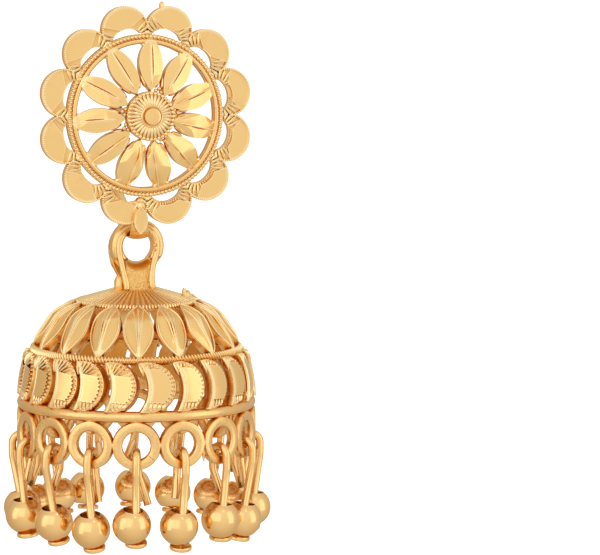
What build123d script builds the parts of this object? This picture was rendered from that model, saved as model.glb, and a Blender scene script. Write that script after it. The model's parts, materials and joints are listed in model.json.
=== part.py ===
from build123d import *
import os
from collections import namedtuple
from math import atan2, cos, degrees, pi, radians, sin

# Jhumka earring, millimetres. The origin is the centre of the rosette's back plane, where the ear post
# goes into the ear lobe. The rosette faces -Y, the post runs to +Y, and the bell hangs down along -Z.
# An azimuth is measured about the bell's axis, from -Y towards +X.

# ---- driving dimensions: rosette -----------------------------------------------------------------
RING_OUTER_R = 7.30         # round frame of the flower
RING_INNER_R = 6.45
RING_DEPTH = 0.80
WIRE_R = 0.24               # two wires lie on the frame's front
SCALLOPS = 12
SCALLOP_R = 2.16            # round lobe outside the frame
SCALLOP_CENTRE_R = 7.78
SCALLOP_DEPTH = 0.95
SCALLOP_BACK = 0.05
SCALLOP_OVERLAP = 0.30      # a lobe runs this far over the frame
SLOT_LENGTH = 2.60          # lens-shaped slot between lobe and frame
SLOT_HEIGHT = 0.78
PETALS = 11
PETAL_FIRST_ANGLE = 86.5
PETAL_ROOT_R = 1.90
PETAL_TIP_R = 6.75
PETAL_WIDTH = 2.20
PETAL_THICKNESS = 0.80
FLOWER_TIP_HEIGHT = 0.95    # front face of the domed flower at the frame
FLOWER_MID_HEIGHT = 1.83    # halfway in
FLOWER_MID_R = 4.40
FLOWER_ROOT_HEIGHT = 2.35   # and at the hub
FLOWER_OVERLAP = (0.30, 0.10)       # how far the dome runs on into the hub and into the frame
HUB_R = 2.20
HUB_BACK = 1.30
HUB_FRONT = 2.65
BOSS_R = 0.80
BOSS_FRONT = 3.05
HUB_BEVEL = 0.30
HUB_DISH = 0.25             # the hub's face falls this much towards the boss
BOSS_BEVEL = 0.15

# ---- driving dimensions: hook and ear post ---------------------------------------------------------
TAB_X = -0.55               # leaf-shaped face of the tab, a little left of the middle
TAB_TOP = -8.10
TAB_BOTTOM = -10.80
TAB_WIDEST = 0.95           # height of the widest place above the tip
TAB_WIDTH = 1.45
TAB_BACK = 0.50
TAB_FRONT = 1.05
KNOT_SIZE = (1.30, 1.10, 0.90)      # block that joins the tab to the frame
KNOT_CENTRE = (-0.30, -8.05, 0.55)
POST_R = 0.40
POST_LENGTH = 10.0          # behind the rosette's back plane
POST_PAD_R = 1.20
POST_PAD_DEPTH = 0.35
POST_FLARE = 0.30           # cone from the pad down to the shaft
FIT_GAP = 0.02

# ---- driving dimensions: bail and bell ---------------------------------------------------------------
BELL_AXIS_Y = 2.10
BAIL_Z = -12.00             # centre of the bail's eye, which is the swing axis
BAIL_HOLE_R = 1.40
BAIL_OUTER_R = 2.42
BAIL_DEPTH = 1.70
NECK_TOP_Z = -13.60
NECK_FOOT_Z = -16.10
NECK_TOP = (2.80, 1.90)
NECK_FOOT = (3.40, 2.90)
PANEL = (1.70, 0.70, 1.70)  # sunk panel on the neck's front and back
PANEL_Z = -14.95
PANEL_Y = 1.45              # from the bell's axis to the middle of the sunk block
CAP_TOP_Z = -15.75
CAP_NECK_R = 1.90           # the cap is level inside this radius
CAP_EDGE_R = 5.35
CAP_EDGE_Z = -17.00
CAP_RIM = 0.20
LEAF_TOP_R = 5.45
LEAF_TOP_DROP = 0.12        # the leaves start this far below the cap's edge
LEAF_MID = (8.02, -18.55)
LEAF_FOOT_R = 9.35
LEAF_WALL_MID = (-0.62, -0.58)      # from the outside of the shoulder to its inside, halfway down
LEAF_WALL_TOP = (-0.55, -0.80)      # and under the cap
ROPE_Z = -21.12
ROPE_R = 9.28
ROPE_WIRE_R = 0.30
TIER_TOP_R = 9.70
TIER_MID = (10.42, -22.80)
TIER_FOOT_R = 10.72
BAND_TOP_Z = -25.72
BAND_FOOT_Z = -26.70
BAND_R = 10.88
BAND_BEVEL = 0.15
TIER_STEP = 0.25            # the crescents start this far below the rope
WALL = 0.80
WALL_STEP = 0.10            # the inside sits this much lower than the outside
LEAVES = 16
LEAF_PHASE = -15.7
LEAF_GAP_AT = (8.55, -19.50, 34)    # opening at the leaves' feet: radius, height and tilt of its plane
LEAF_GAP_WIDTH = 2.45
LEAF_GAP_FOOT = -1.35
LEAF_GAP_TOP = 1.35
CAP_GAP_AT = (6.25, -17.40, 66)     # small opening under the cap
CAP_GAP_WIDTH = 0.84
CAP_GAP_TOP = 0.45
CAP_GAP_FOOT = -0.75
CRESCENTS = 22
CRESCENT_PHASE = -6.1
CRESCENT_GAP_AT = (10.0, -23.55, 10)
CRESCENT_GAP = 0.85
CRESCENT_GAP_HEIGHT = 3.96
CRESCENT_BOW = 0.95
CUT_DEPTH = 1.60            # the openings' cutters reach this far to both sides of their planes

# ---- driving dimensions: ring row and drops ------------------------------------------------------------
DROPS = 16
DROP_PHASE = -17.0
RING_ROW_R = 10.46          # middle of the flat rings' thickness
RING_ROW_Z = -28.74
FLAT_RING_R = 2.14
FLAT_RING_HOLE_R = 1.24
FLAT_RING_DEPTH = 0.80
FLAT_RING_EDGE = 0.16
PIN_WIRE_R = 0.35
PIN_BEND_R = 0.88           # bend of the pin over the ring's lower rim
PIN_BEND_SHARE = 0.98       # the two bends at the top almost meet
PIN_RIM_GAP = 0.36
PIN_KNEE_Z = -31.20         # the shank turns inwards here, below the ring
PIN_KNEE_R = 1.80
PIN_TAIL_KNEE_Z = -31.45
PIN_TAIL_KNEE_R = 1.20
PIN_TAIL_SIDE = 0.20        # share of the tail's sideways offset reached at its knee
PIN_HEAD_R = 1.00
PIN_HEAD_DEPTH = 0.42
PIN_HEAD_EDGE = 0.14
BEAD_R = 1.72
BEAD_HOLE_R = 0.84
BEAD_WALL = 0.32

# Each drop hangs a little differently. head_radius is the disc head's distance from the bell's axis and
# head_z the height of its centre, lean_deg turns the whole drop sideways about the rim, bead_side is the
# bead's play on the wire and bead_rise how far it stands off the head, and the cut tail ends at its own
# radius, sideways offset and height.
Drop = namedtuple("Drop", "head_radius head_z lean_deg bead_side bead_rise tail_radius tail_side tail_z")
DROPS_TABLE = [
    Drop(9.88, -37.54, -0.3, -0.38, 0.00, 9.95, 1.05, -34.10),
    Drop(9.95, -38.05, 0.9, -0.30, 0.27, 10.10, -0.55, -33.60),
    Drop(10.50, -37.55, 0.8, -0.22, 0.00, 10.15, 0.45, -33.40),
    Drop(10.10, -38.20, -0.4, 0.10, 0.00, 10.05, 0.60, -33.70),
    Drop(10.40, -37.90, 0.7, 0.10, 0.00, 9.80, -0.70, -33.80),
    Drop(9.90, -37.80, -1.0, 0.25, 0.00, 10.00, 0.75, -33.50),
    Drop(9.70, -38.00, 2.4, -0.20, 0.00, 10.10, -0.60, -33.75),
    Drop(9.85, -38.20, 2.6, 0.20, 0.00, 9.90, 0.50, -33.55),
    Drop(10.05, -37.75, 4.2, -0.10, 0.00, 10.05, 0.85, -33.80),
    Drop(10.45, -37.85, 4.8, 0.20, 0.00, 9.85, -0.80, -33.65),
    Drop(9.90, -37.90, -0.9, 0.25, 0.00, 10.10, 0.55, -33.50),
    Drop(10.15, -38.00, 0.3, -0.20, 0.00, 9.95, -0.45, -33.80),
    Drop(10.10, -37.70, 1.0, 0.20, 0.00, 10.05, 0.70, -33.60),
    Drop(10.55, -37.82, -0.9, -0.38, 0.00, 10.15, -0.50, -33.45),
    Drop(9.60, -37.90, -1.6, -0.22, 0.00, 10.20, -0.35, -33.30),
    Drop(9.62, -38.12, -0.4, -0.16, 0.00, 9.80, 0.45, -33.95),
]


# ---- small helpers -----------------------------------------------------------------------------------
def wall_plane(azimuth, radius, z, tilt=0.0):
    """Plane on the bell's wall: local x to the right seen from outside, local z out of the wall."""
    a = radians(azimuth)
    t = radians(tilt)
    outward = Vector(sin(a) * cos(t), -cos(a) * cos(t), sin(t))
    origin = Vector(radius * sin(a), BELL_AXIS_Y - radius * cos(a), z)
    return Plane(origin=origin, x_dir=Vector(cos(a), sin(a), 0), z_dir=outward)


def section_face(*edges):
    """Face in the radius-height plane from edges that close on each other."""
    return Plane.XZ * make_face(edges)


def spun(face):
    return revolve(face, axis=Axis.Z)


def line(a, b):
    return Line(a, b)


def bow(a, through, b):
    return ThreePointArc(a, through, b)


# ---- rosette, modelled lying flat with its front up, then stood up -----------------------------------------
def frame_ring():
    base = section_face(*Polyline((RING_INNER_R, 0), (RING_OUTER_R, 0), (RING_OUTER_R, RING_DEPTH),
                                  (RING_INNER_R, RING_DEPTH), close=True).edges())
    ring = spun(base)
    for wire_at in (RING_INNER_R + WIRE_R, RING_OUTER_R - WIRE_R):
        ring += Pos(0, 0, RING_DEPTH) * Torus(wire_at, WIRE_R)
    return ring


def scallop_outline():
    lobe = Pos(SCALLOP_CENTRE_R, 0) * Circle(SCALLOP_R)
    half = SLOT_LENGTH / 2
    chord_r = (RING_OUTER_R ** 2 - half ** 2) ** 0.5
    slot = make_face([bow((chord_r, -half), (RING_OUTER_R + SLOT_HEIGHT, 0), (chord_r, half)),
                      line((chord_r, half), (chord_r, -half))])
    inside = Circle(RING_OUTER_R - SCALLOP_OVERLAP)
    return lobe - slot - inside


def scallop_row():
    lobe = extrude(scallop_outline(), amount=SCALLOP_DEPTH)
    lobe = Pos(0, 0, SCALLOP_BACK) * lobe
    pitch = 360 / SCALLOPS
    return [Rot(0, 0, pitch * (k + 0.5)) * lobe for k in range(SCALLOPS)]


def flower():
    """Domed shell between hub and frame, cut to pointed petals."""
    outer_mid = (FLOWER_MID_R, FLOWER_MID_HEIGHT)
    top_a = (PETAL_ROOT_R - FLOWER_OVERLAP[0], FLOWER_ROOT_HEIGHT)
    top_b = (PETAL_TIP_R + FLOWER_OVERLAP[1], FLOWER_TIP_HEIGHT)
    low_a = (top_a[0], top_a[1] - PETAL_THICKNESS)
    low_b = (top_b[0], top_b[1] - PETAL_THICKNESS)
    low_mid = (outer_mid[0], outer_mid[1] - PETAL_THICKNESS)
    shell = spun(section_face(bow(top_a, outer_mid, top_b), line(top_b, low_b),
                              bow(low_b, low_mid, low_a), line(low_a, top_a)))
    mid_r = (PETAL_ROOT_R + PETAL_TIP_R) / 2
    lens = make_face([bow((PETAL_ROOT_R, 0), (mid_r, PETAL_WIDTH / 2), (PETAL_TIP_R, 0)),
                      bow((PETAL_TIP_R, 0), (mid_r, -PETAL_WIDTH / 2), (PETAL_ROOT_R, 0))])
    petal = shell & extrude(lens, amount=2 * FLOWER_ROOT_HEIGHT)
    pitch = 360 / PETALS
    return [Rot(0, 0, PETAL_FIRST_ANGLE + pitch * k) * petal for k in range(PETALS)]


def hub():
    disc = section_face(*Polyline((0, HUB_BACK), (HUB_R, HUB_BACK), (HUB_R, HUB_FRONT - HUB_BEVEL),
                                  (HUB_R - HUB_BEVEL, HUB_FRONT), (BOSS_R, HUB_FRONT - HUB_DISH),
                                  (BOSS_R, BOSS_FRONT - BOSS_BEVEL), (BOSS_R - BOSS_BEVEL, BOSS_FRONT),
                                  (0, BOSS_FRONT), close=True).edges())
    return spun(disc)


def leaf_tab():
    """Pointed leaf face at the bottom of the rosette, the front of the hook."""
    half = TAB_WIDTH / 2
    widest = TAB_BOTTOM + TAB_WIDEST
    upper = (TAB_WIDTH * 0.36, (TAB_TOP + widest) / 2)
    lower = (TAB_WIDTH * 0.32, TAB_BOTTOM + TAB_WIDEST * 0.3)
    tip = (0, TAB_BOTTOM)
    top = (0, TAB_TOP)
    face = make_face([bow(top, upper, (half, widest)),
                      bow((half, widest), lower, tip),
                      bow(tip, (-lower[0], lower[1]), (-half, widest)),
                      bow((-half, widest), (-upper[0], upper[1]), top)])
    leaf = Pos(TAB_X, 0, TAB_BACK) * extrude(face, amount=TAB_FRONT - TAB_BACK)
    return leaf + Pos(*KNOT_CENTRE) * Box(*KNOT_SIZE)


# The hook is a tongue of oval section. It goes down behind the leaf face, back under the top of the bail's
# eye, and up behind the rosette, leaning a little to one side.
HookSection = namedtuple("HookSection", "x y z width thickness")
HOOK_SECTIONS = [
    HookSection(-0.45, -0.42, -8.30, 1.10, 0.70),
    HookSection(-0.42, -0.38, -9.55, 1.50, 0.66),
    HookSection(-0.28, 0.02, -10.60, 1.74, 0.62),
    HookSection(-0.10, 0.95, -11.02, 1.80, 0.60),
    HookSection(-0.03, 2.10, -11.07, 1.80, 0.60),
    HookSection(-0.04, 3.25, -10.95, 1.80, 0.60),
    HookSection(-0.14, 4.45, -10.20, 1.76, 0.62),
    HookSection(-0.38, 5.45, -8.95, 1.70, 0.62),
    HookSection(-0.66, 6.30, -7.75, 1.60, 0.60),
    HookSection(-0.92, 7.05, -6.75, 1.20, 0.52),
]


def hook():
    points = [Vector(row.x, row.y, row.z) for row in HOOK_SECTIONS]
    sections = []
    for k, row in enumerate(HOOK_SECTIONS):
        before = points[max(k - 1, 0)]
        after = points[min(k + 1, len(points) - 1)]
        tangent = (after - before).normalized()
        across = Vector(1, 0, 0) - tangent * tangent.X
        plane = Plane(origin=points[k], x_dir=across.normalized(), z_dir=tangent)
        sections.append(plane * Ellipse(row.width / 2, row.thickness / 2))
    return loft(sections)


def rosette():
    flat = frame_ring() + scallop_row() + flower() + hub() + leaf_tab()
    return Plane.XZ * flat + hook()


def ear_post():
    """Plain round post with a pad that sits against the hub's back and a rounded tip."""
    seat = HUB_BACK - FIT_GAP
    shaft_start = seat - POST_PAD_DEPTH - POST_FLARE
    outline = [line((0, seat), (POST_PAD_R, seat)),
               line((POST_PAD_R, seat), (POST_PAD_R, seat - POST_PAD_DEPTH)),
               line((POST_PAD_R, seat - POST_PAD_DEPTH), (POST_R, shaft_start)),
               line((POST_R, shaft_start), (POST_R, POST_R - POST_LENGTH)),
               bow((POST_R, POST_R - POST_LENGTH),
                   (POST_R * cos(pi / 4), POST_R - POST_LENGTH - POST_R * sin(pi / 4)),
                   (0, -POST_LENGTH)),
               line((0, -POST_LENGTH), (0, seat))]
    return Plane.XZ * spun(section_face(*outline))


# ---- bell ------------------------------------------------------------------------------------------------
def bell_wall():
    """Cap, leaf tier, crescent tier and band as one turned shell about the bell's axis."""
    cap_rim = (CAP_EDGE_R, CAP_EDGE_Z + CAP_RIM)
    leaf_top = (LEAF_TOP_R, CAP_EDGE_Z - LEAF_TOP_DROP)
    leaf_foot = (LEAF_FOOT_R, ROPE_Z)
    tier_top = (TIER_TOP_R, ROPE_Z - TIER_STEP)
    tier_foot = (TIER_FOOT_R, BAND_TOP_Z)
    band_top = (BAND_R, BAND_TOP_Z - BAND_BEVEL)
    band_foot = (BAND_R, BAND_FOOT_Z + BAND_BEVEL)
    inner_foot = (TIER_FOOT_R - WALL, BAND_FOOT_Z)
    inner_tier = (TIER_FOOT_R - WALL, BAND_TOP_Z)
    inner_tier_mid = (TIER_MID[0] - WALL, TIER_MID[1] - WALL_STEP)
    inner_tier_top = (TIER_TOP_R - WALL, ROPE_Z - TIER_STEP - WALL_STEP)
    inner_leaf_mid = (LEAF_MID[0] + LEAF_WALL_MID[0], LEAF_MID[1] + LEAF_WALL_MID[1])
    inner_leaf_top = (LEAF_TOP_R + LEAF_WALL_TOP[0], CAP_EDGE_Z + LEAF_WALL_TOP[1])
    outline = [line((0, CAP_TOP_Z), (CAP_NECK_R, CAP_TOP_Z)),
               line((CAP_NECK_R, CAP_TOP_Z), cap_rim),
               line(cap_rim, leaf_top),
               bow(leaf_top, LEAF_MID, leaf_foot),
               line(leaf_foot, tier_top),
               bow(tier_top, TIER_MID, tier_foot),
               line(tier_foot, band_top),
               line(band_top, band_foot),
               line(band_foot, (TIER_FOOT_R, BAND_FOOT_Z)),
               line((TIER_FOOT_R, BAND_FOOT_Z), inner_foot),
               line(inner_foot, inner_tier),
               bow(inner_tier, inner_tier_mid, inner_tier_top),
               bow(inner_tier_top, inner_leaf_mid, inner_leaf_top),
               line(inner_leaf_top, (0, CAP_TOP_Z - WALL)),
               line((0, CAP_TOP_Z - WALL), (0, CAP_TOP_Z))]
    shell = spun(section_face(*outline))
    rope = Pos(0, 0, ROPE_Z) * Torus(ROPE_R, ROPE_WIRE_R)
    return Pos(0, BELL_AXIS_Y, 0) * (shell + rope)


def leaf_gap_cutters():
    """Triangular openings between leaves: a large one at the foot, a small one under the cap."""
    low = wall_plane(0, *LEAF_GAP_AT)
    high = wall_plane(0, *CAP_GAP_AT)
    big = Polyline((-LEAF_GAP_WIDTH / 2, LEAF_GAP_FOOT), (LEAF_GAP_WIDTH / 2, LEAF_GAP_FOOT),
                   (0, LEAF_GAP_TOP), close=True)
    small = Polyline((-CAP_GAP_WIDTH / 2, CAP_GAP_TOP), (CAP_GAP_WIDTH / 2, CAP_GAP_TOP),
                     (0, CAP_GAP_FOOT), close=True)
    cutters = [extrude(low * make_face(big.edges()), amount=CUT_DEPTH, both=True),
               extrude(high * make_face(small.edges()), amount=CUT_DEPTH, both=True)]
    return around_axis(cutters, LEAVES, LEAF_PHASE + 180 / LEAVES)


def crescent_gap_cutters():
    """Curved openings, bowed to the right, between neighbouring crescents."""
    half_h = CRESCENT_GAP_HEIGHT / 2
    left = -CRESCENT_BOW / 2 - CRESCENT_GAP / 2
    right = left + CRESCENT_GAP
    outline = [bow((left, -half_h), (left + CRESCENT_BOW, 0), (left, half_h)),
               line((left, half_h), (right, half_h)),
               bow((right, half_h), (right + CRESCENT_BOW, 0), (right, -half_h)),
               line((right, -half_h), (left, -half_h))]
    slot = wall_plane(0, *CRESCENT_GAP_AT) * make_face(outline)
    cutter = extrude(slot, amount=CUT_DEPTH, both=True)
    return around_axis([cutter], CRESCENTS, CRESCENT_PHASE + 180 / CRESCENTS)


def around_axis(shapes, count, phase):
    """Copies of shapes made at azimuth 0, turned about the bell's axis."""
    axis = Pos(0, BELL_AXIS_Y, 0)
    back = Pos(0, -BELL_AXIS_Y, 0)
    return [axis * Rot(0, 0, phase + 360 / count * k) * back * shape
            for k in range(count) for shape in shapes]


def flat_ring():
    """One soldered ring of the row, its hole facing outwards, at azimuth 0."""
    washer = extrude(Circle(FLAT_RING_R) - Circle(FLAT_RING_HOLE_R), amount=FLAT_RING_DEPTH / 2, both=True)
    washer = fillet(washer.edges(), FLAT_RING_EDGE)
    return wall_plane(0, RING_ROW_R, RING_ROW_Z) * washer


def bail():
    """Round eye that hangs on the hook, with a neck that widens into the cap."""
    eye_plane = Plane(origin=(0, BELL_AXIS_Y, BAIL_Z), x_dir=(1, 0, 0), z_dir=(0, -1, 0))
    disc = extrude(Circle(BAIL_OUTER_R), amount=BAIL_DEPTH / 2, both=True)
    hole = extrude(Circle(BAIL_HOLE_R), amount=BAIL_DEPTH, both=True)
    top = Plane(origin=(0, BELL_AXIS_Y, NECK_TOP_Z)) * Rectangle(*NECK_TOP)
    foot = Plane(origin=(0, BELL_AXIS_Y, NECK_FOOT_Z)) * Rectangle(*NECK_FOOT)
    neck = loft([top, foot])
    panels = [Pos(0, BELL_AXIS_Y + side * PANEL_Y, PANEL_Z) * Box(*PANEL) for side in (-1, 1)]
    return eye_plane * disc + (neck - panels) - eye_plane * hole


def bell():
    rings = around_axis([flat_ring()], DROPS, DROP_PHASE)
    wall = bell_wall() - leaf_gap_cutters() - crescent_gap_cutters()
    return wall + bail() + rings


# ---- drops, each made in the plane of x (out from the bell's axis) and z, then turned to its place ------
RIM_TOP_Z = RING_ROW_Z - FLAT_RING_HOLE_R
PIN_OUTER_R = RING_ROW_R + PIN_BEND_R
PIN_INNER_R = RING_ROW_R - PIN_BEND_R


def along_shank(drop, distance):
    """Point on the straight shank, measured up from the head's centre, and the shank's slope in degrees."""
    slope = atan2(PIN_OUTER_R - drop.head_radius, PIN_KNEE_Z - drop.head_z)
    x = drop.head_radius + distance * sin(slope)
    z = drop.head_z + distance * cos(slope)
    return Vector(x, 0, z), degrees(slope)


def on_shank(shape, drop, distance, side=0.0):
    """Put a shape made about the Z axis on the shank, tilted with it."""
    point, slope = along_shank(drop, distance)
    return Pos(point.X, side, point.Z) * Rot(0, slope, 0) * shape


def pin(drop, azimuth):
    """Head pin: disc head, straight shank, bend over the ring's lower rim, tail cut off short."""
    apex_z = RIM_TOP_Z + PIN_WIRE_R + PIN_RIM_GAP
    bend = PIN_BEND_R * PIN_BEND_SHARE
    path = FilletPolyline((drop.head_radius, 0, drop.head_z),
                          (PIN_OUTER_R, 0, PIN_KNEE_Z),
                          (PIN_OUTER_R, 0, apex_z),
                          (PIN_INNER_R, 0, apex_z),
                          (PIN_INNER_R, drop.tail_side * PIN_TAIL_SIDE, PIN_TAIL_KNEE_Z),
                          (drop.tail_radius, drop.tail_side, drop.tail_z),
                          radius=[PIN_KNEE_R, bend, bend, PIN_TAIL_KNEE_R])
    wire = sweep(Plane(path ^ 0) * Circle(PIN_WIRE_R), path=path)
    head = Cylinder(PIN_HEAD_R, PIN_HEAD_DEPTH)
    head = on_shank(fillet(head.edges(), PIN_HEAD_EDGE), drop, 0)
    return place_drop(wire + head, drop, azimuth)


def bead(drop, azimuth):
    """Hollow ball on the shank, open at both poles, resting on the disc head."""
    rest = PIN_HEAD_DEPTH / 2 + (BEAD_R ** 2 - BEAD_HOLE_R ** 2) ** 0.5 + FIT_GAP
    ball = Sphere(BEAD_R) - Sphere(BEAD_R - BEAD_WALL) - Cylinder(BEAD_HOLE_R, 3 * BEAD_R)
    return place_drop(on_shank(ball, drop, rest + drop.bead_rise, drop.bead_side), drop, azimuth)


def place_drop(shape, drop, azimuth):
    """Lean a drop sideways about the rim that it hangs on, then turn it to its azimuth."""
    rim = Pos(RING_ROW_R, 0, RIM_TOP_Z)
    leaned = rim * Rot(drop.lean_deg, 0, 0) * rim.inverse() * shape
    return Pos(0, BELL_AXIS_Y, 0) * Rot(0, 0, azimuth - 90) * leaned


# ---- write one file for each piece -------------------------------------------------------------------------
def main():
    os.makedirs("parts", exist_ok=True)
    pieces = {"rosette": rosette(), "ear_post": ear_post(), "bell": bell()}
    for index, drop in enumerate(DROPS_TABLE):
        azimuth = DROP_PHASE + 360 / DROPS * index
        pieces[f"pin_{index + 1:02d}"] = pin(drop, azimuth)
        pieces[f"bead_{index + 1:02d}"] = bead(drop, azimuth)
    for name, shape in pieces.items():
        print(f"{name:10s} solids {len(shape.solids())}  volume {shape.volume:8.2f} mm3")
        export_step(shape, f"parts/{name}.step")


main()
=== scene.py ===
"""Jhumka earring: detailed looks built around the packed model. The makers work in millimetres."""
import json
from math import asin, atan, atan2, cos, degrees, hypot, pi, radians, sin, sqrt, tan, tau

import bmesh
import bpy
from mathutils import Matrix, Vector


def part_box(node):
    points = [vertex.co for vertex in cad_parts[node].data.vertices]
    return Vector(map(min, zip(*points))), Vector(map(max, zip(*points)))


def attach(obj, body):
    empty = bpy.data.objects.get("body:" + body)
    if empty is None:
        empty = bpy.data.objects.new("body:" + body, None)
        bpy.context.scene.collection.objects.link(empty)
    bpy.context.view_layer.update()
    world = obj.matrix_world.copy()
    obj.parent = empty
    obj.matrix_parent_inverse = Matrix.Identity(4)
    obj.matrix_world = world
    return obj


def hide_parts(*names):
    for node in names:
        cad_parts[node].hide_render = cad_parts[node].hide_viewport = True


bl_info = {
    "name": "Jhumka Earring Builder",
    "version": (1, 0, 0),
    "blender": (4, 5, 0),
    "location": "View3D > Sidebar > Jhumka",
    "description": "Models a gold plated jhumka earring piece by piece around its fixed frame",
    "category": "Object",
}

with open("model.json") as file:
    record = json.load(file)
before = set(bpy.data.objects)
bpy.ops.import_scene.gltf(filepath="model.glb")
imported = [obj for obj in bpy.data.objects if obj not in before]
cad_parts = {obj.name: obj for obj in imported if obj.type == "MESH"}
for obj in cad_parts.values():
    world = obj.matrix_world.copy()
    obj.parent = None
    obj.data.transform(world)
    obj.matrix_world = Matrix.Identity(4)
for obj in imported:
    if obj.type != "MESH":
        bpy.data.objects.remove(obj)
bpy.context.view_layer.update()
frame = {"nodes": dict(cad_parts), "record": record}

MM = 0.001
ROSETTE_BODY = "rosette"
BELL_BODY = "bell"


# ---- places read from the frame, in millimetres ----
def corners(node):
    """Lowest and highest corner of a node, in millimetres."""
    low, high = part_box(node)
    return Vector(low) / MM, Vector(high) / MM


SWING = Vector(frame["record"]["behaviour"]["joints"][0]["pos_m"]) / MM
AXIS_Y = SWING.y                    # the bell hangs round this vertical axis
EYE_Z = SWING.z                     # centre of the bail's eye
RING_FOOT_Z = corners("bell")[0].z  # bottom of the row of flat rings
DROPS = sum(1 for name in frame["nodes"] if name.startswith("bead_"))
FIRST_DROP = -17.0                  # azimuths run from -Y towards +X, in degrees


# ---- sizes and colours a user may change ----
def linear(hex_colour):
    """sRGB hex, such as E8BE7C, to linear RGBA."""
    channels = [int(hex_colour[i:i + 2], 16) / 255 for i in (0, 2, 4)]
    return [c / 12.92 if c <= 0.04045 else ((c + 0.055) / 1.055) ** 2.4 for c in channels] + [1.0]


def length(name, description, millimetres):
    return bpy.props.FloatProperty(name=name, description=description, default=millimetres * MM,
                                   unit="LENGTH", subtype="DISTANCE", precision=5)


def count(name, description, number):
    return bpy.props.IntProperty(name=name, description=description, default=number, min=1)


def colour(name, description, hex_colour):
    return bpy.props.FloatVectorProperty(name=name, description=description, subtype="COLOR", size=4,
                                         min=0.0, max=1.0, default=linear(hex_colour))


class JhumkaRosetteSizes(bpy.types.PropertyGroup):
    """Sizes of the flower stud."""
    frame_radius: length("Frame radius", "Outer radius of the round frame", 7.30)
    frame_width: length("Frame width", "Radial width of the round frame", 0.85)
    scallops: count("Scallops", "Lobes outside the frame", 12)
    scallop_radius: length("Scallop radius", "Radius of one lobe", 2.20)
    scallop_centre: length("Scallop centre", "Distance of a lobe's centre from the hub", 7.84)
    petals: count("Petals", "Pointed petals inside the frame", 11)
    petal_length: length("Petal length", "From the hub to the frame", 4.95)
    petal_width: length("Petal width", "Widest place of a petal", 2.20)
    hub_radius: length("Hub radius", "Radius of the fluted hub", 2.20)


class JhumkaBellSizes(bpy.types.PropertyGroup):
    """Sizes of the bell."""
    eye_radius: length("Eye radius", "Hole of the bail", 1.40)
    bail_radius: length("Bail radius", "Outside of the bail", 2.50)
    cap_radius: length("Cap radius", "Edge of the fluted cap", 5.30)
    cap_flutes: count("Cap flutes", "Flutes on the cap", 58)
    leaves: count("Leaves", "Leaves below the cap", 16)
    leaf_width: length("Leaf width", "Widest place of a leaf", 2.60)
    crescents: count("Crescents", "Crescents round the wall", 22)
    crescent_height: length("Crescent height", "Height of one crescent", 4.50)
    band_radius: length("Band radius", "Outside of the plain band", 10.90)
    ring_radius: length("Ring radius", "Outside of one flat ring", 2.14)
    ring_hole: length("Ring hole", "Hole of one flat ring", 1.24)
    bead_radius: length("Bead radius", "Radius of one ball bead", 1.72)
    bead_hole: length("Bead hole", "Radius of a bead's hole", 0.84)


class JhumkaColours(bpy.types.PropertyGroup):
    """Colours of the gold finishes and of the stage."""
    bright_cut: colour("Bright-cut gold", "Flat facets cut with a polished tool", "F8D08C")
    cast: colour("Cast gold", "Skin of the plated casting", "F9CE8C")
    # The recess colour is painted shade: the warmer, darker colour that each gold material lays into its
    # hollows.
    painted_recess_shade: colour("Recess gold", "Painted shade, warmer and darker down in the recesses", "DC982E")
    painted_highlight: colour("Painted highlight gold", "Edges and ridges rubbed bright", "FFE6B4")
    # The rubbed colour is a painted highlight: the paler colour that each gold material lays on its edges
    # and ridges.
    ground: colour("Ground gold", "Ground between the ridges: painted shade on a satin finish", "E6A650")
    # The beaded colour is a painted highlight: a paler colour for the raised grains, ribs and flutes.
    beaded: colour("Beaded gold", "Rows of tiny grains and ribs, rubbed on their tops", "FBDA9C")
    # The ground colour is painted shade: a warmer, darker colour for low ground, walls and hole slopes.
    polished: colour("Polished gold", "Ball beads and wire", "FACF8E")
    backdrop: colour("Backdrop", "Plain pale paper", "FAFAFA")


GROUPS = {
    "jhumka_rosette": JhumkaRosetteSizes,
    "jhumka_bell": JhumkaBellSizes,
    "jhumka_colours": JhumkaColours,
}


def rosette_size(name):
    return getattr(bpy.context.scene.jhumka_rosette, name) / MM


def bell_size(name):
    return getattr(bpy.context.scene.jhumka_bell, name) / MM


def rosette_count(name):
    return getattr(bpy.context.scene.jhumka_rosette, name)


def bell_count(name):
    return getattr(bpy.context.scene.jhumka_bell, name)


# ---- modelling helpers ----
def make_active(obj):
    bpy.ops.object.select_all(action="DESELECT")
    obj.select_set(True)
    bpy.context.view_layer.objects.active = obj


def added(name):
    """The primitive just added, named, alone in the selection."""
    obj = bpy.context.object
    obj.name = name
    obj.data.name = name
    make_active(obj)
    return obj


class Editing:
    """Edit mode on one object with nothing selected; object mode again at the end."""

    def __init__(self, obj, kind="VERT"):
        self.obj = obj
        self.kind = kind

    def __enter__(self):
        make_active(self.obj)
        bpy.ops.object.mode_set(mode="EDIT")
        bpy.ops.mesh.select_mode(type=self.kind)
        bpy.ops.mesh.select_all(action="DESELECT")
        return self

    def __exit__(self, *_):
        bpy.ops.object.mode_set(mode="OBJECT")

    def pick(self, test):
        """Select the verts, edges or faces whose element passes a test; everything else is deselected."""
        bpy.ops.mesh.select_all(action="DESELECT")
        mesh = bmesh.from_edit_mesh(self.obj.data)
        items = {"VERT": mesh.verts, "EDGE": mesh.edges, "FACE": mesh.faces}[self.kind]
        for item in items:
            if test(item):
                item.select_set(True)
        mesh.select_flush_mode()
        bmesh.update_edit_mesh(self.obj.data)


def everything():
    bpy.ops.mesh.select_all(action="SELECT")


def extrude(*way):
    bpy.ops.mesh.extrude_region_move(TRANSFORM_OT_translate={"value": way})


def squeeze(factors, centre):
    """Scale what is selected about a centre."""
    bpy.ops.transform.resize(value=factors, center_override=centre)


def shift(*way):
    return Matrix.Translation(way)


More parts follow.
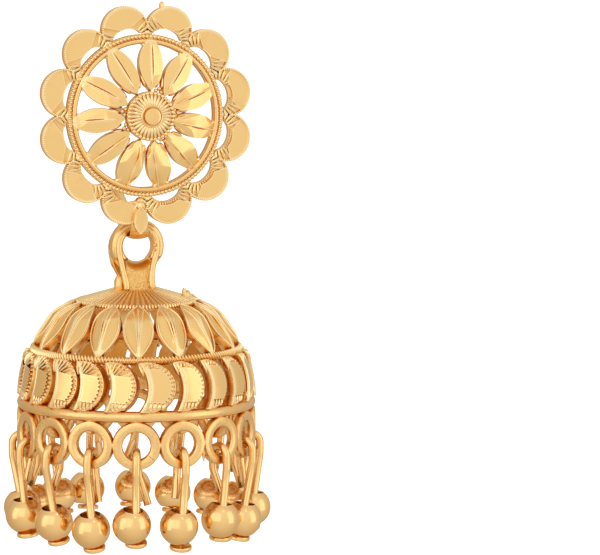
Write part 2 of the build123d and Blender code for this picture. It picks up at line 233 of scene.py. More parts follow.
def place(obj, matrix):
    """Move a piece by a matrix and put the move into its mesh."""
    make_active(obj)
    obj.matrix_world = matrix @ obj.matrix_world
    bpy.ops.object.transform_apply(location=True, rotation=True, scale=True)
    return obj


def settled(name):
    """The primitive just added, named, with its place put into its mesh."""
    return place(added(name), Matrix.Identity(4))


def copy_of(obj, name):
    make_active(obj)
    bpy.ops.object.duplicate(linked=False)
    return added(name)


def joined(pieces, name):
    bpy.ops.object.select_all(action="DESELECT")
    for piece in pieces:
        piece.select_set(True)
    bpy.context.view_layer.objects.active = pieces[0]
    if len(pieces) > 1:
        bpy.ops.object.join()
    return added(name)


def scrap(*objects):
    for obj in objects:
        bpy.data.objects.remove(obj, do_unlink=True)


def modified(obj, kind, **settings):
    """Add a modifier, set it up and apply it."""
    make_active(obj)
    modifier = obj.modifiers.new(kind.title(), kind)
    for key, value in settings.items():
        setattr(modifier, key, value)
    bpy.ops.object.modifier_apply(modifier=modifier.name)
    return obj


def roughen(obj, height):
    """Uneven cast surface: random shifts of the corners, from a fixed seed."""
    with Editing(obj):
        everything()
        bpy.ops.transform.vertex_random(offset=height, seed=3)
    return obj


def softened(obj, width, segments, angle):
    """Bevel the edges that turn by more than an angle in degrees."""
    return modified(obj, "BEVEL", width=width, segments=segments, limit_method="ANGLE",
                    angle_limit=radians(angle))


def bent(obj, axis, angle):
    return modified(obj, "SIMPLE_DEFORM", deform_method="BEND", deform_axis=axis, angle=radians(angle))


def cut_with(obj, tool, operation="DIFFERENCE"):
    modified(obj, "BOOLEAN", operation=operation, object=tool, solver="EXACT")
    scrap(tool)
    return obj


def turned(angle, axis="Z", centre=(0, 0, 0)):
    """Matrix of a turn in degrees about an axis through a centre."""
    c = Vector(centre)
    return Matrix.Translation(c) @ Matrix.Rotation(radians(angle), 4, axis) @ Matrix.Translation(-c)


def drawn_bar(name, rows, sides=20, across=None, depth=None):
    """Oval bar drawn out through rows of (x, y, z, width, thickness). across or depth says which way the
    width or the thickness points."""
    points = [Vector(row[:3]) for row in rows]

    def section(k):
        ahead, behind = points[min(k + 1, len(points) - 1)], points[max(k - 1, 0)]
        along = (ahead - behind).normalized()
        if across:
            side = (Vector(across) - along * along.dot(Vector(across))).normalized()
        else:
            side = Vector(depth).cross(along).normalized()
        basis = Matrix((side, along.cross(side), along)).transposed().to_4x4()
        width, thickness = rows[k][3:]
        return Matrix.Translation(points[k]) @ basis @ Matrix.Diagonal((width / 2, thickness / 2, 1, 1))

    bpy.ops.mesh.primitive_circle_add(vertices=sides, radius=1, fill_type="NGON")
    bar = place(added(name), section(0))
    with Editing(bar):
        everything()
        for k in range(1, len(points)):
            bpy.ops.mesh.extrude_region_move()
            step = section(k) @ section(k - 1).inverted()
            mesh = bmesh.from_edit_mesh(bar.data)
            bmesh.ops.transform(mesh, matrix=step, verts=[v for v in mesh.verts if v.select])
            bmesh.update_edit_mesh(bar.data)
        everything()
        bpy.ops.mesh.normals_make_consistent(inside=False)
    dress(bar, "cast_gold")
    return modified(bar, "SUBSURF", levels=1, render_levels=1)


def turned_array(obj, number, step, centre=(0, 0, 0), axis="Z"):
    """Repeat a piece by turning it step degrees at a time, as one mesh."""
    bpy.ops.object.empty_add()
    handle = bpy.context.object
    handle.matrix_world = turned(step, axis, centre)
    bpy.context.view_layer.update()
    modified(obj, "ARRAY", count=number, use_relative_offset=False, use_object_offset=True,
             offset_object=handle)
    scrap(handle)
    return obj


def azimuth(angle):
    """Turn about the bell's axis, from the front (-Y) towards the right (+X)."""
    return turned(angle, "Z", (0, AXIS_Y, 0))


STAND_UP = turned(90, "X")      # from lying flat, front up, to standing with the front at -Y
ON_AXIS = shift(0, AXIS_Y, 0)


def lathe(name, profile, steps=96, closed=True, about="Z"):
    """Spin a profile of (radius, height) points about the Z axis. A closed profile makes a ring."""
    bpy.ops.mesh.primitive_plane_add(size=0.1)
    obj = added(name)
    points = [Vector((r, 0, h)) for r, h in profile]
    if closed:
        points.append(points[0])
    with Editing(obj):
        everything()
        bpy.ops.mesh.merge(type="CENTER")
        bpy.ops.transform.translate(value=points[0])
        for before, after in zip(points, points[1:]):
            extrude(*(after - before))
        everything()
        bpy.ops.mesh.remove_doubles(threshold=0.0005)
        everything()
        bpy.ops.mesh.spin(steps=steps, angle=tau, center=(0, 0, 0), axis=(0, 0, 1))
        everything()
        bpy.ops.mesh.remove_doubles(threshold=0.002)
        bpy.ops.mesh.normals_make_consistent(inside=False)
    if about == "Y":
        place(obj, STAND_UP)
    return obj


def ellipsoid(name, half_sizes, at=(0, 0, 0), segments=8, rings=6, skin="cast_gold"):
    bpy.ops.mesh.primitive_uv_sphere_add(segments=segments, ring_count=rings, radius=1)
    obj = dress(added(name), skin)
    return place(obj, Matrix.Translation(at) @ Matrix.Diagonal((*half_sizes, 1)))


def rib(name, start, end, width, height, segments=8, rings=8, skin="cast_gold"):
    """Rounded ridge from start to end: width across, height up."""
    a, b = Vector(start), Vector(end)
    along = (b - a).normalized()
    side = Vector((0, 0, 1)).cross(along)
    side = Vector((1, 0, 0)) if side.length < 1e-4 else side.normalized()
    up = along.cross(side)
    basis = Matrix((side, up, along)).transposed().to_4x4()
    sizes = Matrix.Diagonal((width / 2, height / 2, (b - a).length / 2, 1))
    bpy.ops.mesh.primitive_uv_sphere_add(segments=segments, ring_count=rings, radius=1)
    obj = dress(added(name), skin)
    return place(obj, Matrix.Translation((a + b) / 2) @ basis @ sizes)


def arc_radius(long, wide):
    """Radius of the two arcs that bound a pointed shape."""
    return (long ** 2 / 4 + wide ** 2 / 4) / wide


def lens_plate(name, long, wide, thick, sides=64):
    """Pointed plate along Y, the overlap of two round discs, from z = 0 to thick."""
    arc = arc_radius(long, wide)
    discs = []
    for side in (-1, 1):
        bpy.ops.mesh.primitive_cylinder_add(vertices=sides * 2, radius=arc, depth=thick,
                                            location=(side * (arc - wide / 2), 0, thick / 2))
        discs.append(settled(name))
    return cut_with(*discs, "INTERSECT")


def pare(obj, point, normal):
    """Plane cut that removes what lies on the normal's side and closes the cut with a flat face."""
    with Editing(obj):
        everything()
        bpy.ops.mesh.bisect(plane_co=point, plane_no=normal, use_fill=True, clear_outer=True)
    return obj


def score(obj, point, normal):
    """Plane cut that only adds an edge loop."""
    with Editing(obj):
        everything()
        bpy.ops.mesh.bisect(plane_co=point, plane_no=normal)
    return obj


def roof_cut(obj, ridge_x, ridge_z, left, right):
    """Two planar bright cuts that meet in a ridge along Y, falling left and right by their angles."""
    for angle, side in ((left, -1), (right, 1)):
        a = radians(angle)
        pare(obj, (ridge_x, 0, ridge_z), (side * sin(a), 0, cos(a)))
    return obj


# ---- gold finishes ----
def add_node(tree, kind, links=None, **settings):
    """Add a node, set its properties or input values by name, and link inputs from given sockets."""
    node = tree.nodes.new(kind)
    for key, value in settings.items():
        if key in node.inputs:
            node.inputs[key].default_value = value
        else:
            setattr(node, key, value)
    for name, source in (links or {}).items():
        tree.links.new(source, node.inputs[name])
    return node


HOLLOW_REACH = 0.42             # how deep a hollow must be, in millimetres, to take the painted shade
EDGE_REACH = 0.12               # and how far from an edge the painted highlight reaches
CLOUD_MM = 2.2                  # width of the duller and brighter patches of the plating
TOOL_LINE_HEIGHT = 0.0016       # height of the lines that a cutting tool leaves


def gold(name, shade, deep, painted_highlight, roughness, grain_mm, grain_height, streak_mm=None, reach=HOLLOW_REACH,
         mottle=0.0):
    """Yellow-gold plating: painted shade, warmer and darker, down in its recesses, a painted highlight,
    paler, on its edges, and a grain of its own.

    shade and deep are linear colours, and so is the third, the colour of the painted edge highlight;
    grain_mm is the grain's size and grain_height its bump in millimetres. streak_mm adds the fine
    parallel lines that a cutting tool leaves, reach is how deep a hollow must be to take the painted
    shade, and mottle is how warm the pits of the grain are.
    """
    material = bpy.data.materials.new(name)
    material.use_nodes = True
    tree = material.node_tree
    surface = tree.nodes["Principled BSDF"]
    surface.inputs["Metallic"].default_value = 1.0
    surface.inputs["Roughness"].default_value = roughness
    where = add_node(tree, "ShaderNodeTexCoord")
    spread = add_node(tree, "ShaderNodeTexNoise", {"Vector": where.outputs["Object"]},
                      Scale=1 / (CLOUD_MM * MM), Detail=2.0)
    # Painted shade: an occlusion mask turns hollows to the warmer, darker recess colour; the pits of the
    # grain add a real, random mottle.
    hollow = add_node(tree, "ShaderNodeAmbientOcclusion", Distance=reach * MM, samples=4)
    painted_shade_mask = add_node(tree, "ShaderNodeMapRange", {"Value": hollow.outputs["AO"]}, **{
        "From Min": 0.20, "From Max": 0.90})
    grain = add_node(tree, "ShaderNodeTexNoise", {"Vector": where.outputs["Object"]},
                     Scale=1 / (grain_mm * MM), Detail=3.0)
    pits = add_node(tree, "ShaderNodeMapRange", {"Value": grain.outputs["Fac"]}, **{
        "From Min": 0.38, "From Max": 0.54, "To Min": 1.0 - mottle, "To Max": 1.0})
    unshaded_and_unpitted = add_node(tree, "ShaderNodeMath", {0: painted_shade_mask.outputs["Result"], 1: pits.outputs["Result"]},
                     operation="MULTIPLY")
    painted_shade_and_mottle = add_node(tree, "ShaderNodeMix", {"Factor": unshaded_and_unpitted.outputs["Value"]}, data_type="RGBA")
    painted_shade_and_mottle.inputs["A"].default_value = deep
    painted_shade_and_mottle.inputs["B"].default_value = shade
    # Painted highlight: an inside occlusion mask turns edges and ridges to the paler edge colour.
    edge = add_node(tree, "ShaderNodeAmbientOcclusion", Distance=EDGE_REACH * MM, samples=4, inside=True)
    painted_highlight_mask = add_node(tree, "ShaderNodeMapRange", {"Value": edge.outputs["AO"]}, **{
        "From Min": 0.95, "From Max": 0.55, "To Min": 0.0, "To Max": 0.9})
    with_painted_highlight = add_node(tree, "ShaderNodeMix", {"Factor": painted_highlight_mask.outputs["Result"], "A": painted_shade_and_mottle.outputs[2]},
                    data_type="RGBA")
    with_painted_highlight.inputs["B"].default_value = painted_highlight
    tree.links.new(with_painted_highlight.outputs[2], surface.inputs["Base Color"])
    polish = add_node(tree, "ShaderNodeMapRange", {"Value": spread.outputs["Fac"]}, **{
        "From Min": 0.3, "From Max": 0.7, "To Min": roughness * 0.75, "To Max": roughness * 1.3})
    tree.links.new(polish.outputs["Result"], surface.inputs["Roughness"])
    bump = add_node(tree, "ShaderNodeBump", {"Height": grain.outputs["Fac"]}, Distance=grain_height * MM,
                    Strength=1.0)
    if streak_mm:
        lines = add_node(tree, "ShaderNodeTexWave", {"Vector": where.outputs["Object"]},
                         Scale=0.05 / (streak_mm * MM), Distortion=3.0, bands_direction="DIAGONAL")
        lines.inputs["Detail Scale"].default_value = 2.0
        bump = add_node(tree, "ShaderNodeBump",
                        {"Height": lines.outputs["Fac"], "Normal": bump.outputs["Normal"]},
                        Distance=TOOL_LINE_HEIGHT * MM, Strength=1.0)
    tree.links.new(bump.outputs["Normal"], surface.inputs["Normal"])
    return material


# Finish: its colour, roughness, grain in millimetres and height of the grain, and what else it has.
FINISHES = {
    # Bright-cut gold: mirror-like flats left by a polished cutter, with faint tool lines.
    "bright_cut_gold": ("bright_cut", 0.17, 0.45, 0.004, {"streak_mm": 0.11}),
    # Cast gold: the soft skin of a lost-wax casting, tumbled and plated, with a painted highlight on its
    # corners and painted shade in its hollows.
    "cast_gold": ("cast", 0.24, 0.22, 0.012, {"mottle": 0.16}),
    # Sand-textured gold: a recessed panel that was never polished, a coarse sparkling grain.
    "sand_cast_gold": ("bright_cut", 0.42, 0.17, 0.16, {"mottle": 0.50}),
    # Satin ground gold: low ground and walls between ridges, satin and soft, in a warmer, darker colour
    # that is painted shade.
    "satin_painted_shade_gold": ("ground", 0.30, 0.18, 0.014, {"reach": 0.22}),
    # Beaded gold: tiny grains and ribs, in a paler colour that is a painted highlight, with painted shade
    # only in the narrow gaps.
    "beaded_painted_highlight_gold": ("beaded", 0.22, 0.20, 0.008, {"reach": 0.15}),
    # Polished gold: drawn wire and ball beads, smooth and round with a clear reflection.
    "polished_gold": ("polished", 0.19, 0.60, 0.006, {}),
}


def make_golds():
    """The six finishes of the earring, made once."""
    shades = bpy.context.scene.jhumka_colours
    for name, (shade, roughness, grain_mm, grain_height, extras) in FINISHES.items():
        gold(name, getattr(shades, shade), shades.painted_recess_shade, shades.painted_highlight, roughness, grain_mm,
             grain_height, **extras)


def dress(obj, *finishes):
    obj.data.materials.clear()
    for name in finishes:
        obj.data.materials.append(bpy.data.materials[name])
    return obj


def two_tone(obj, is_other, other="bright_cut_gold"):
    """Cast gold all over, with another finish on the faces that pass a test."""
    dress(obj, "cast_gold", other)
    for polygon in obj.data.polygons:
        polygon.material_index = 1 if is_other(polygon) else 0
    return obj


def done(obj, body, node, smooth=38.0, unit=MM):
    """Bring a piece to metres from its unit, smooth it and tie it to the frame."""
    place(obj, Matrix.Scale(unit, 4))
    bpy.ops.object.shade_smooth_by_angle(angle=radians(smooth))
    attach(obj, body)
    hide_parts(node)


def rosette_part(pieces, name, seat=STAND_UP, smooth=38.0):
    """Join pieces of the rosette, seat them and finish them."""
    done(place(joined(pieces, name), seat), ROSETTE_BODY, "rosette", smooth)


def bell_part(pieces, name, seat=Matrix.Identity(4), smooth=38.0):
    """Join pieces of the bell, seat them and finish them."""
    done(place(joined(pieces, name), seat), BELL_BODY, "bell", smooth)


def round_wire(name, radius, thick, at, around=112, across=12):
    bpy.ops.mesh.primitive_torus_add(major_radius=radius, minor_radius=thick, location=at,
                                     major_segments=around, minor_segments=across)
    return settled(name)


def beading(name, half_sizes, at, number, **shape):
    """Closed row of grains about the Z axis."""
    grain = ellipsoid(name, half_sizes, at=at, skin="beaded_painted_highlight_gold", **shape)
    return turned_array(grain, number, 360 / number)


def frame_ring():
    """Round frame: a flat ring carrying a plain inner wire and a beaded outer wire."""
    outer = rosette_size("frame_radius")
    inner = outer - rosette_size("frame_width")
    face = 0.72
    base = lathe("frame_base", [(inner, 0.05), (inner, face), (outer, face), (outer, 0.05)])
    wires = [dress(base, "satin_painted_shade_gold")]
    for radius, thick, z in ((inner + 0.21, 0.23, face + 0.07), (outer - 0.20, 0.13, face)):
        wires.append(dress(round_wire("frame_wire", radius, thick, (0, 0, z)), "cast_gold"))
    wires.append(beading("milgrain", (0.23, 0.165, 0.24), (outer - 0.20, 0, face + 0.05), 125))
    rosette_part(wires, "rosette_frame")


# One row for each lobe, counted from the first one left of the top: the cut face's tilt across and
# outwards in degrees, the direction of the crease that some of them carry (0 means none), and how many of
# the ribs on each side of the slot the cutter left standing.
SCALLOP_CUTS = [
    (1.5, -1.0, 0, 3), (-2.0, 1.5, 0, 3), (2.5, 0.5, 0, 3), (-1.0, 2.0, 72, 3), (2.0, -2.0, 80, 4),
    (-2.5, 1.0, -35, 4), (1.0, 2.5, 40, 8), (2.0, -1.5, 55, 8), (-2.5, 0.5, 0, 8), (-1.5, 2.0, 70, 6),
    (2.0, 1.0, -50, 4), (-2.0, -1.5, 0, 4),
]
SLOT_HALF = 1.36                # half length of the slot between a lobe and the frame
SLOT_RISE = 0.74                # and its height above the foot line
FOOT_Y = 7.22                   # height of the foot line above the hub's centre
LOBE_BACK = 0.08                # back and face of a lobe, in front of the rosette's back
LOBE_FACE = 0.84
RIM_GRAINS = 37                 # milgrain beads round a lobe's rim
RIM_SPREAD = 186.0              # and the turn they take up, in degrees
RIB_BAND = 0.34                 # width of the ribbed ground along the middle of a slot
GROUND_DEPTH = 0.19             # how far the ribbed ground lies below a lobe's face
FOOT_STEP_TURN = 25.0           # rise of the face's lower edge towards its sides, in degrees

# The ribs on one side of a slot, from its end to its middle: where they start on the slot's edge, their
# direction (both in degrees from the lobe's middle line) and their length.
SLOT_RIBS = [
    (59, 86, 0.72), (51, 68, 0.98), (42.5, 55, 1.22), (34, 43, 1.34), (26.5, 33, 0.56), (19.5, 24, 0.46),
    (12.5, 15, 0.42), (5, 6, 0.40),
]


def scallop(cut):
    """One lobe above the hub: half-moon plate with a cut face, beaded rim and fanned ribs by the slot."""
    across, outwards, crease, standing_ribs = cut
    radius = rosette_size("scallop_radius")
    centre = rosette_size("scallop_centre")
    foot_half = sqrt(radius ** 2 - (centre - FOOT_Y) ** 2)
    bpy.ops.mesh.primitive_circle_add(vertices=72, radius=radius, fill_type="NGON",
                                      location=(0, centre, LOBE_BACK))
    plate = settled("scallop_plate")
    with Editing(plate) as edit:
        edit.pick(lambda v: v.co.y < FOOT_Y)
        squeeze((SLOT_HALF / foot_half, -SLOT_RISE / (FOOT_Y - centre + radius), 1), (0, FOOT_Y, 0))
        everything()
        extrude(0, 0, LOBE_FACE - LOBE_BACK)
        everything()
        bpy.ops.mesh.normals_make_consistent(inside=False)
    with Editing(plate, "FACE") as edit:
        edit.pick(lambda f: f.normal.z > 0.9)
        bpy.ops.mesh.inset(thickness=0.10, depth=-0.03)
        bpy.ops.mesh.inset(thickness=0.02, depth=0.06)
    top = LOBE_FACE + 0.03
    if crease:
        a = radians(crease)
        inward = Vector((sin(a), -cos(a)))
        pare(plate, (0.35 * inward.x, centre + 0.35 * inward.y, top),
             (0.11 * inward.x, 0.11 * inward.y, 1))
    pare(plate, (0, centre + 0.2, top - 0.015),
         (sin(radians(across)), sin(radians(outwards)), 1))
    arc = (SLOT_HALF ** 2 + SLOT_RISE ** 2) / (2 * SLOT_RISE)
    arc_y = FOOT_Y + SLOT_RISE - arc
    ground = LOBE_FACE - GROUND_DEPTH
    for side in (-1, 1):
        step = slab("foot_step", min(0.0, 2.8 * side), max(0.0, 2.8 * side), 2.4, ground, 2)
        place(step, turned(side * FOOT_STEP_TURN) @ shift(0, -1.2, 0))
        cut_with(plate, place(step, shift(side * 0.50, FOOT_Y + SLOT_RISE, 0)))
    if standing_ribs > 4:
        cut_with(plate, round_tool("rib_band", arc + RIB_BAND, 0, ground, 2, y=arc_y))
    two_tone(plate, lambda p: p.normal.z > 0.9 and p.center.z > LOBE_FACE - 0.12 and p.area > 0.6)
    softened(plate, 0.03, 1, 50)
    grain = ellipsoid("rim_grain", (0.13, 0.115, 0.14), at=(radius - 0.08, centre, LOBE_FACE - 0.05),
                      rings=4, skin="beaded_painted_highlight_gold")
    place(grain, turned(-(RIM_SPREAD - 180) / 2, "Z", (0, centre, 0)))
    pieces = [plate, turned_array(grain, RIM_GRAINS, RIM_SPREAD / (RIM_GRAINS - 1), (0, centre, 0))]
    for side in (-1, 1):
        for angle, way, reach in SLOT_RIBS[:standing_ribs]:
            a, w = radians(angle), radians(way)
            start = Vector((side * arc * sin(a), arc_y + arc * cos(a), ground))
            end = start + Vector((side * reach * sin(w), reach * cos(w), 0.03))
            width = 0.34 if reach > 0.6 else 0.21
            pieces.append(rib("slot_rib", start, end, width, 0.54, rings=6, skin="beaded_painted_highlight_gold"))
        pieces.append(ellipsoid("foot_knot", (0.27, 0.22, 0.22),
                                at=(side * 1.93, FOOT_Y, LOBE_FACE - 0.12)))
    return joined(pieces, "scallop")


SCALLOPS_ASIDE = 0.12           # the ring of lobes was cast a little off the hub's centre


def scallop_row():
    number = rosette_count("scallops")
    lobes = [place(scallop(SCALLOP_CUTS[k % len(SCALLOP_CUTS)]), turned(360 / number * (k + 0.5)))
             for k in range(number)]
    nub = rib("sprue_nub", (1.46, 9.34, 0.60), (1.38, 10.22, 0.64), 0.56, 0.52)
    rosette_part(lobes + [nub], "rosette_scallops", shift(SCALLOPS_ASIDE, 0, 0) @ STAND_UP, smooth=30)


# One row for each petal, counted from the top one towards the left: how far the ridge lies off the
# middle, the fall of the left and right cut in degrees, the length of the crease beside the ridge and how
# deep a cross cut pares it (0 means none).
PETAL_CUTS = [
    (0.05, 9, 7, 3.0, 0.0), (-0.02, 5, 8, 3.4, 0.0), (0.02, 5, 6, 3.3, 0.0), (0.05, 4, 4, 1.8, 0.0),
    (-0.10, 6, 4, 2.4, 0.03), (-0.35, 7, 2, 0.0, 0.09), (0.40, 2, 8, 0.0, 0.10), (0.30, 3, 8, 1.4, 0.08),
    (0.10, 4, 7, 2.0, 0.06), (-0.06, 7, 6, 2.6, 0.03), (0.04, 8, 10, 3.0, 0.0),
]
PETAL_TOP = 0.98                # height of the uncut ridge above a petal's back
PETAL_SEAT = (2.02, 0.66)       # where a petal starts beside the hub, and how high its middle sits
PETAL_LEAN = -15.5              # degrees that it falls towards the frame
FIRST_PETAL = -3.5              # degrees that the top petal stands off the middle


def petal(cut):
    """One petal along +Y from the hub: pointed plate, roofed by two bright cuts beside a fine crease."""
    ridge, left, right, crease, cross_cut = cut
    long = rosette_size("petal_length")
    wide = rosette_size("petal_width")
    plate = lens_plate("petal", long, wide, 1.05, sides=56)
    roof_cut(plate, ridge, PETAL_TOP, left, right)
    pare(plate, (0, -long * 0.30, PETAL_TOP - 0.02), (0.0, -0.30, 1))
    pare(plate, (0, long * 0.34, PETAL_TOP - 0.02), (0.0, 0.30, 1))
    if cross_cut:
        pare(plate, (0, long * 0.12, PETAL_TOP - cross_cut), (0.06, 0.13, 1))
        pare(plate, (0, -long * 0.10, PETAL_TOP - cross_cut), (-0.07, -0.16, 1))
    if cross_cut > 0.05:
        for side in (-1, 1):
            pare(plate, (side * 0.30, -long * 0.20, PETAL_TOP - 0.12), (side * 0.36, -0.30, 1))
            pare(plate, (side * 0.30, long * 0.30, PETAL_TOP - 0.16), (side * 0.30, 0.34, 1))
    if crease:
        groove = rib("crease_tool", (ridge + 0.06, long * 0.05 - crease / 2, PETAL_TOP),
                     (ridge + 0.06, long * 0.05 + crease / 2, PETAL_TOP), 0.19, 0.36, segments=6)
        cut_with(plate, groove)
    two_tone(plate, lambda p: p.normal.z > 0.5)
    softened(plate, 0.045, 2, 40)
    pieces = [plate, rib("vein", (ridge - 0.04, -long * 0.40, 0.94), (ridge - 0.06, long * 0.42, 0.93),
                         0.18, 0.20, rings=12)]
    for side in (-1, 1):
        pieces.append(rib("tip_web", (side * 0.18, long * 0.27, 0.52), (side * 0.98, long * 0.44, 0.42),
                          0.36, 0.55))
        pieces.append(rib("root_web", (side * 0.46, -long * 0.43, 0.38),
                          (side * 0.92, -long * 0.19, 0.42), 0.42, 0.60, skin="satin_painted_shade_gold"))
    start, rise = PETAL_SEAT
    return place(joined(pieces, "petal"), shift(0, start + long / 2, rise) @ turned(PETAL_LEAN, "X"))


def petal_row():
    number = rosette_count("petals")
    petals = [place(petal(PETAL_CUTS[k % len(PETAL_CUTS)]), turned(FIRST_PETAL + 360 / number * k))
              for k in range(number)]
    rosette_part(petals, "rosette_petals", smooth=20)


GRANULE_ANGLES = (70.3, 204.0, 6.5, 170.0, -58.0)     # gaps beside the hub that hold three tiny grains


def hub():
    """Fluted hub with a beaded rim and a flat-topped boss."""
    radius = rosette_size("hub_radius")
    profile = [(0.0, 1.30), (radius - 0.05, 1.30), (radius, 1.45), (radius, 2.26), (radius - 0.12, 2.34),
               (1.88, 2.34), (1.06, 2.50), (1.04, 2.74), (0.96, 2.80), (0.88, 2.77), (0.86, 2.66),
               (0.79, 2.66), (0.77, 2.92), (0.71, 3.02), (0.54, 3.06), (0.0, 3.07)]
    body = two_tone(lathe("hub_body", profile, closed=False), lambda p: p.center.z > 2.98)
    flutes = 32
    flute = rib("hub_flute", (0, 0.88, 2.62), (0, 2.08, 2.36), 0.36, 0.42, skin="beaded_painted_highlight_gold")
    pieces = [body, turned_array(flute, flutes, 360 / flutes),
              beading("hub_grain", (0.19, 0.20, 0.18), (radius - 0.14, 0, 2.40), 36)]
    for angle in GRANULE_ANGLES:
        for r, side in ((2.34, -6.0), (2.34, 6.0), (2.60, 0.0)):
            a = radians(angle + side)
            pieces.append(ellipsoid("granule", (0.20, 0.20, 0.20), at=(r * cos(a), r * sin(a), 1.95)))
    rosette_part(pieces, "rosette_hub")


TAB_X = -0.55                   # the tab stands a little to the left of the middle

# The hook's tongue: middle of each oval section in the earring's frame, its width and its thickness.
HOOK_SECTIONS = [
    (-0.50, -0.20, -8.10, 1.00, 0.70),
    (-0.46, -0.18, -9.40, 1.46, 0.68),
    (-0.38, -0.08, -10.15, 1.66, 0.66),
    (-0.26, 0.25, -10.75, 1.80, 0.64),
    (-0.10, 1.00, -11.03, 1.86, 0.62),
    (-0.05, 2.10, -11.08, 1.84, 0.60),
    (-0.05, 3.25, -10.95, 1.80, 0.60),
    (-0.10, 3.95, -10.62, 1.78, 0.60),
    (-0.20, 4.60, -10.05, 1.76, 0.62),
    (-0.38, 5.45, -8.95, 1.72, 0.62),
    (-0.66, 6.30, -7.75, 1.62, 0.60),
    (-0.84, 6.80, -7.05, 1.45, 0.56),
    (-0.92, 7.05, -6.72, 0.95, 0.44),
]


def hook():
    """Leaf-faced tab at the foot of the rosette and the tongue that carries the bell."""
    leaf = lens_plate("tab_leaf", 2.50, 1.30, 0.55, sides=40)
    with Editing(leaf, "FACE") as edit:
        edit.pick(lambda f: f.normal.z > 0.9)
        bpy.ops.mesh.inset(thickness=0.11, depth=-0.04)
    two_tone(leaf, lambda p: p.normal.z > 0.9 and p.area > 0.8)
    softened(leaf, 0.05, 2, 40)
    place(leaf, shift(TAB_X, -9.38, 0.62) @ turned(4, "X"))
    pieces = [leaf, rib("tab_stem", (TAB_X, -7.40, 0.60), (TAB_X, -8.90, 0.78), 0.46, 0.50),
              ellipsoid("tab_knot", (0.42, 0.34, 0.40), at=(TAB_X, -7.66, 0.60))]
    for side in (-1, 1):
        pieces.append(rib("tab_fan", (TAB_X + side * 0.10, -7.60, 0.75),
                          (TAB_X + side * 0.66, -8.80, 0.62), 0.24, 0.34))
    front = place(joined(pieces, "tab"), STAND_UP)
    tongue = drawn_bar("hook_tongue", HOOK_SECTIONS, across=(1, 0, 0))
    rosette_part([front, tongue], "rosette_hook", Matrix.Identity(4))


# The straps down the bail's front, from the top of the eye to the cap: x of the left and of the right
# one, distance in front of the axis, height below the eye's centre, width and thickness.
STRAP_SECTIONS = [
    (-0.55, 0.55, 0.60, -1.86, 0.40, 0.34),
    (-1.05, 1.05, 0.66, -1.58, 0.54, 0.46),
    (-1.58, 1.52, 0.70, -1.05, 0.60, 0.52),
    (-1.88, 1.75, 0.72, -0.35, 0.60, 0.54),
    (-1.90, 1.74, 0.74, 0.35, 0.60, 0.54),
    (-1.76, 1.55, 0.80, 1.05, 0.60, 0.56),
    (-1.63, 1.26, 0.92, 1.75, 0.58, 0.58),
    (-1.48, 1.08, 1.10, 2.60, 0.58, 0.60),
    (-1.34, 1.06, 1.30, 3.35, 0.62, 0.62),
    (-1.30, 1.12, 1.44, 3.95, 0.68, 0.62),
]
HOLE_WIDENING = 0.85            # the hole's lower edge opens this much per millimetre towards both faces
# Cuts for the hole through the neck: from and to which depth, where its radius is the hole's, widening.
HOLE_CUTS = [
    (0.10, 2.0, 0.10, -HOLE_WIDENING), (-2.0, -0.10, -0.10, HOLE_WIDENING), (-0.3, 0.3, 0.3, 0.0),
]
BACK_WAIST = 0.30               # the back straps clear the hole by this much more
BACK_STRAPS = 0.82              # the back ones stand closer together
# Pits in the right strap: x, height above the eye's centre and radius.
CASTING_PITS = [(1.50, 0.10, 0.20), (1.46, -0.32, 0.17), (1.40, 0.50, 0.12)]


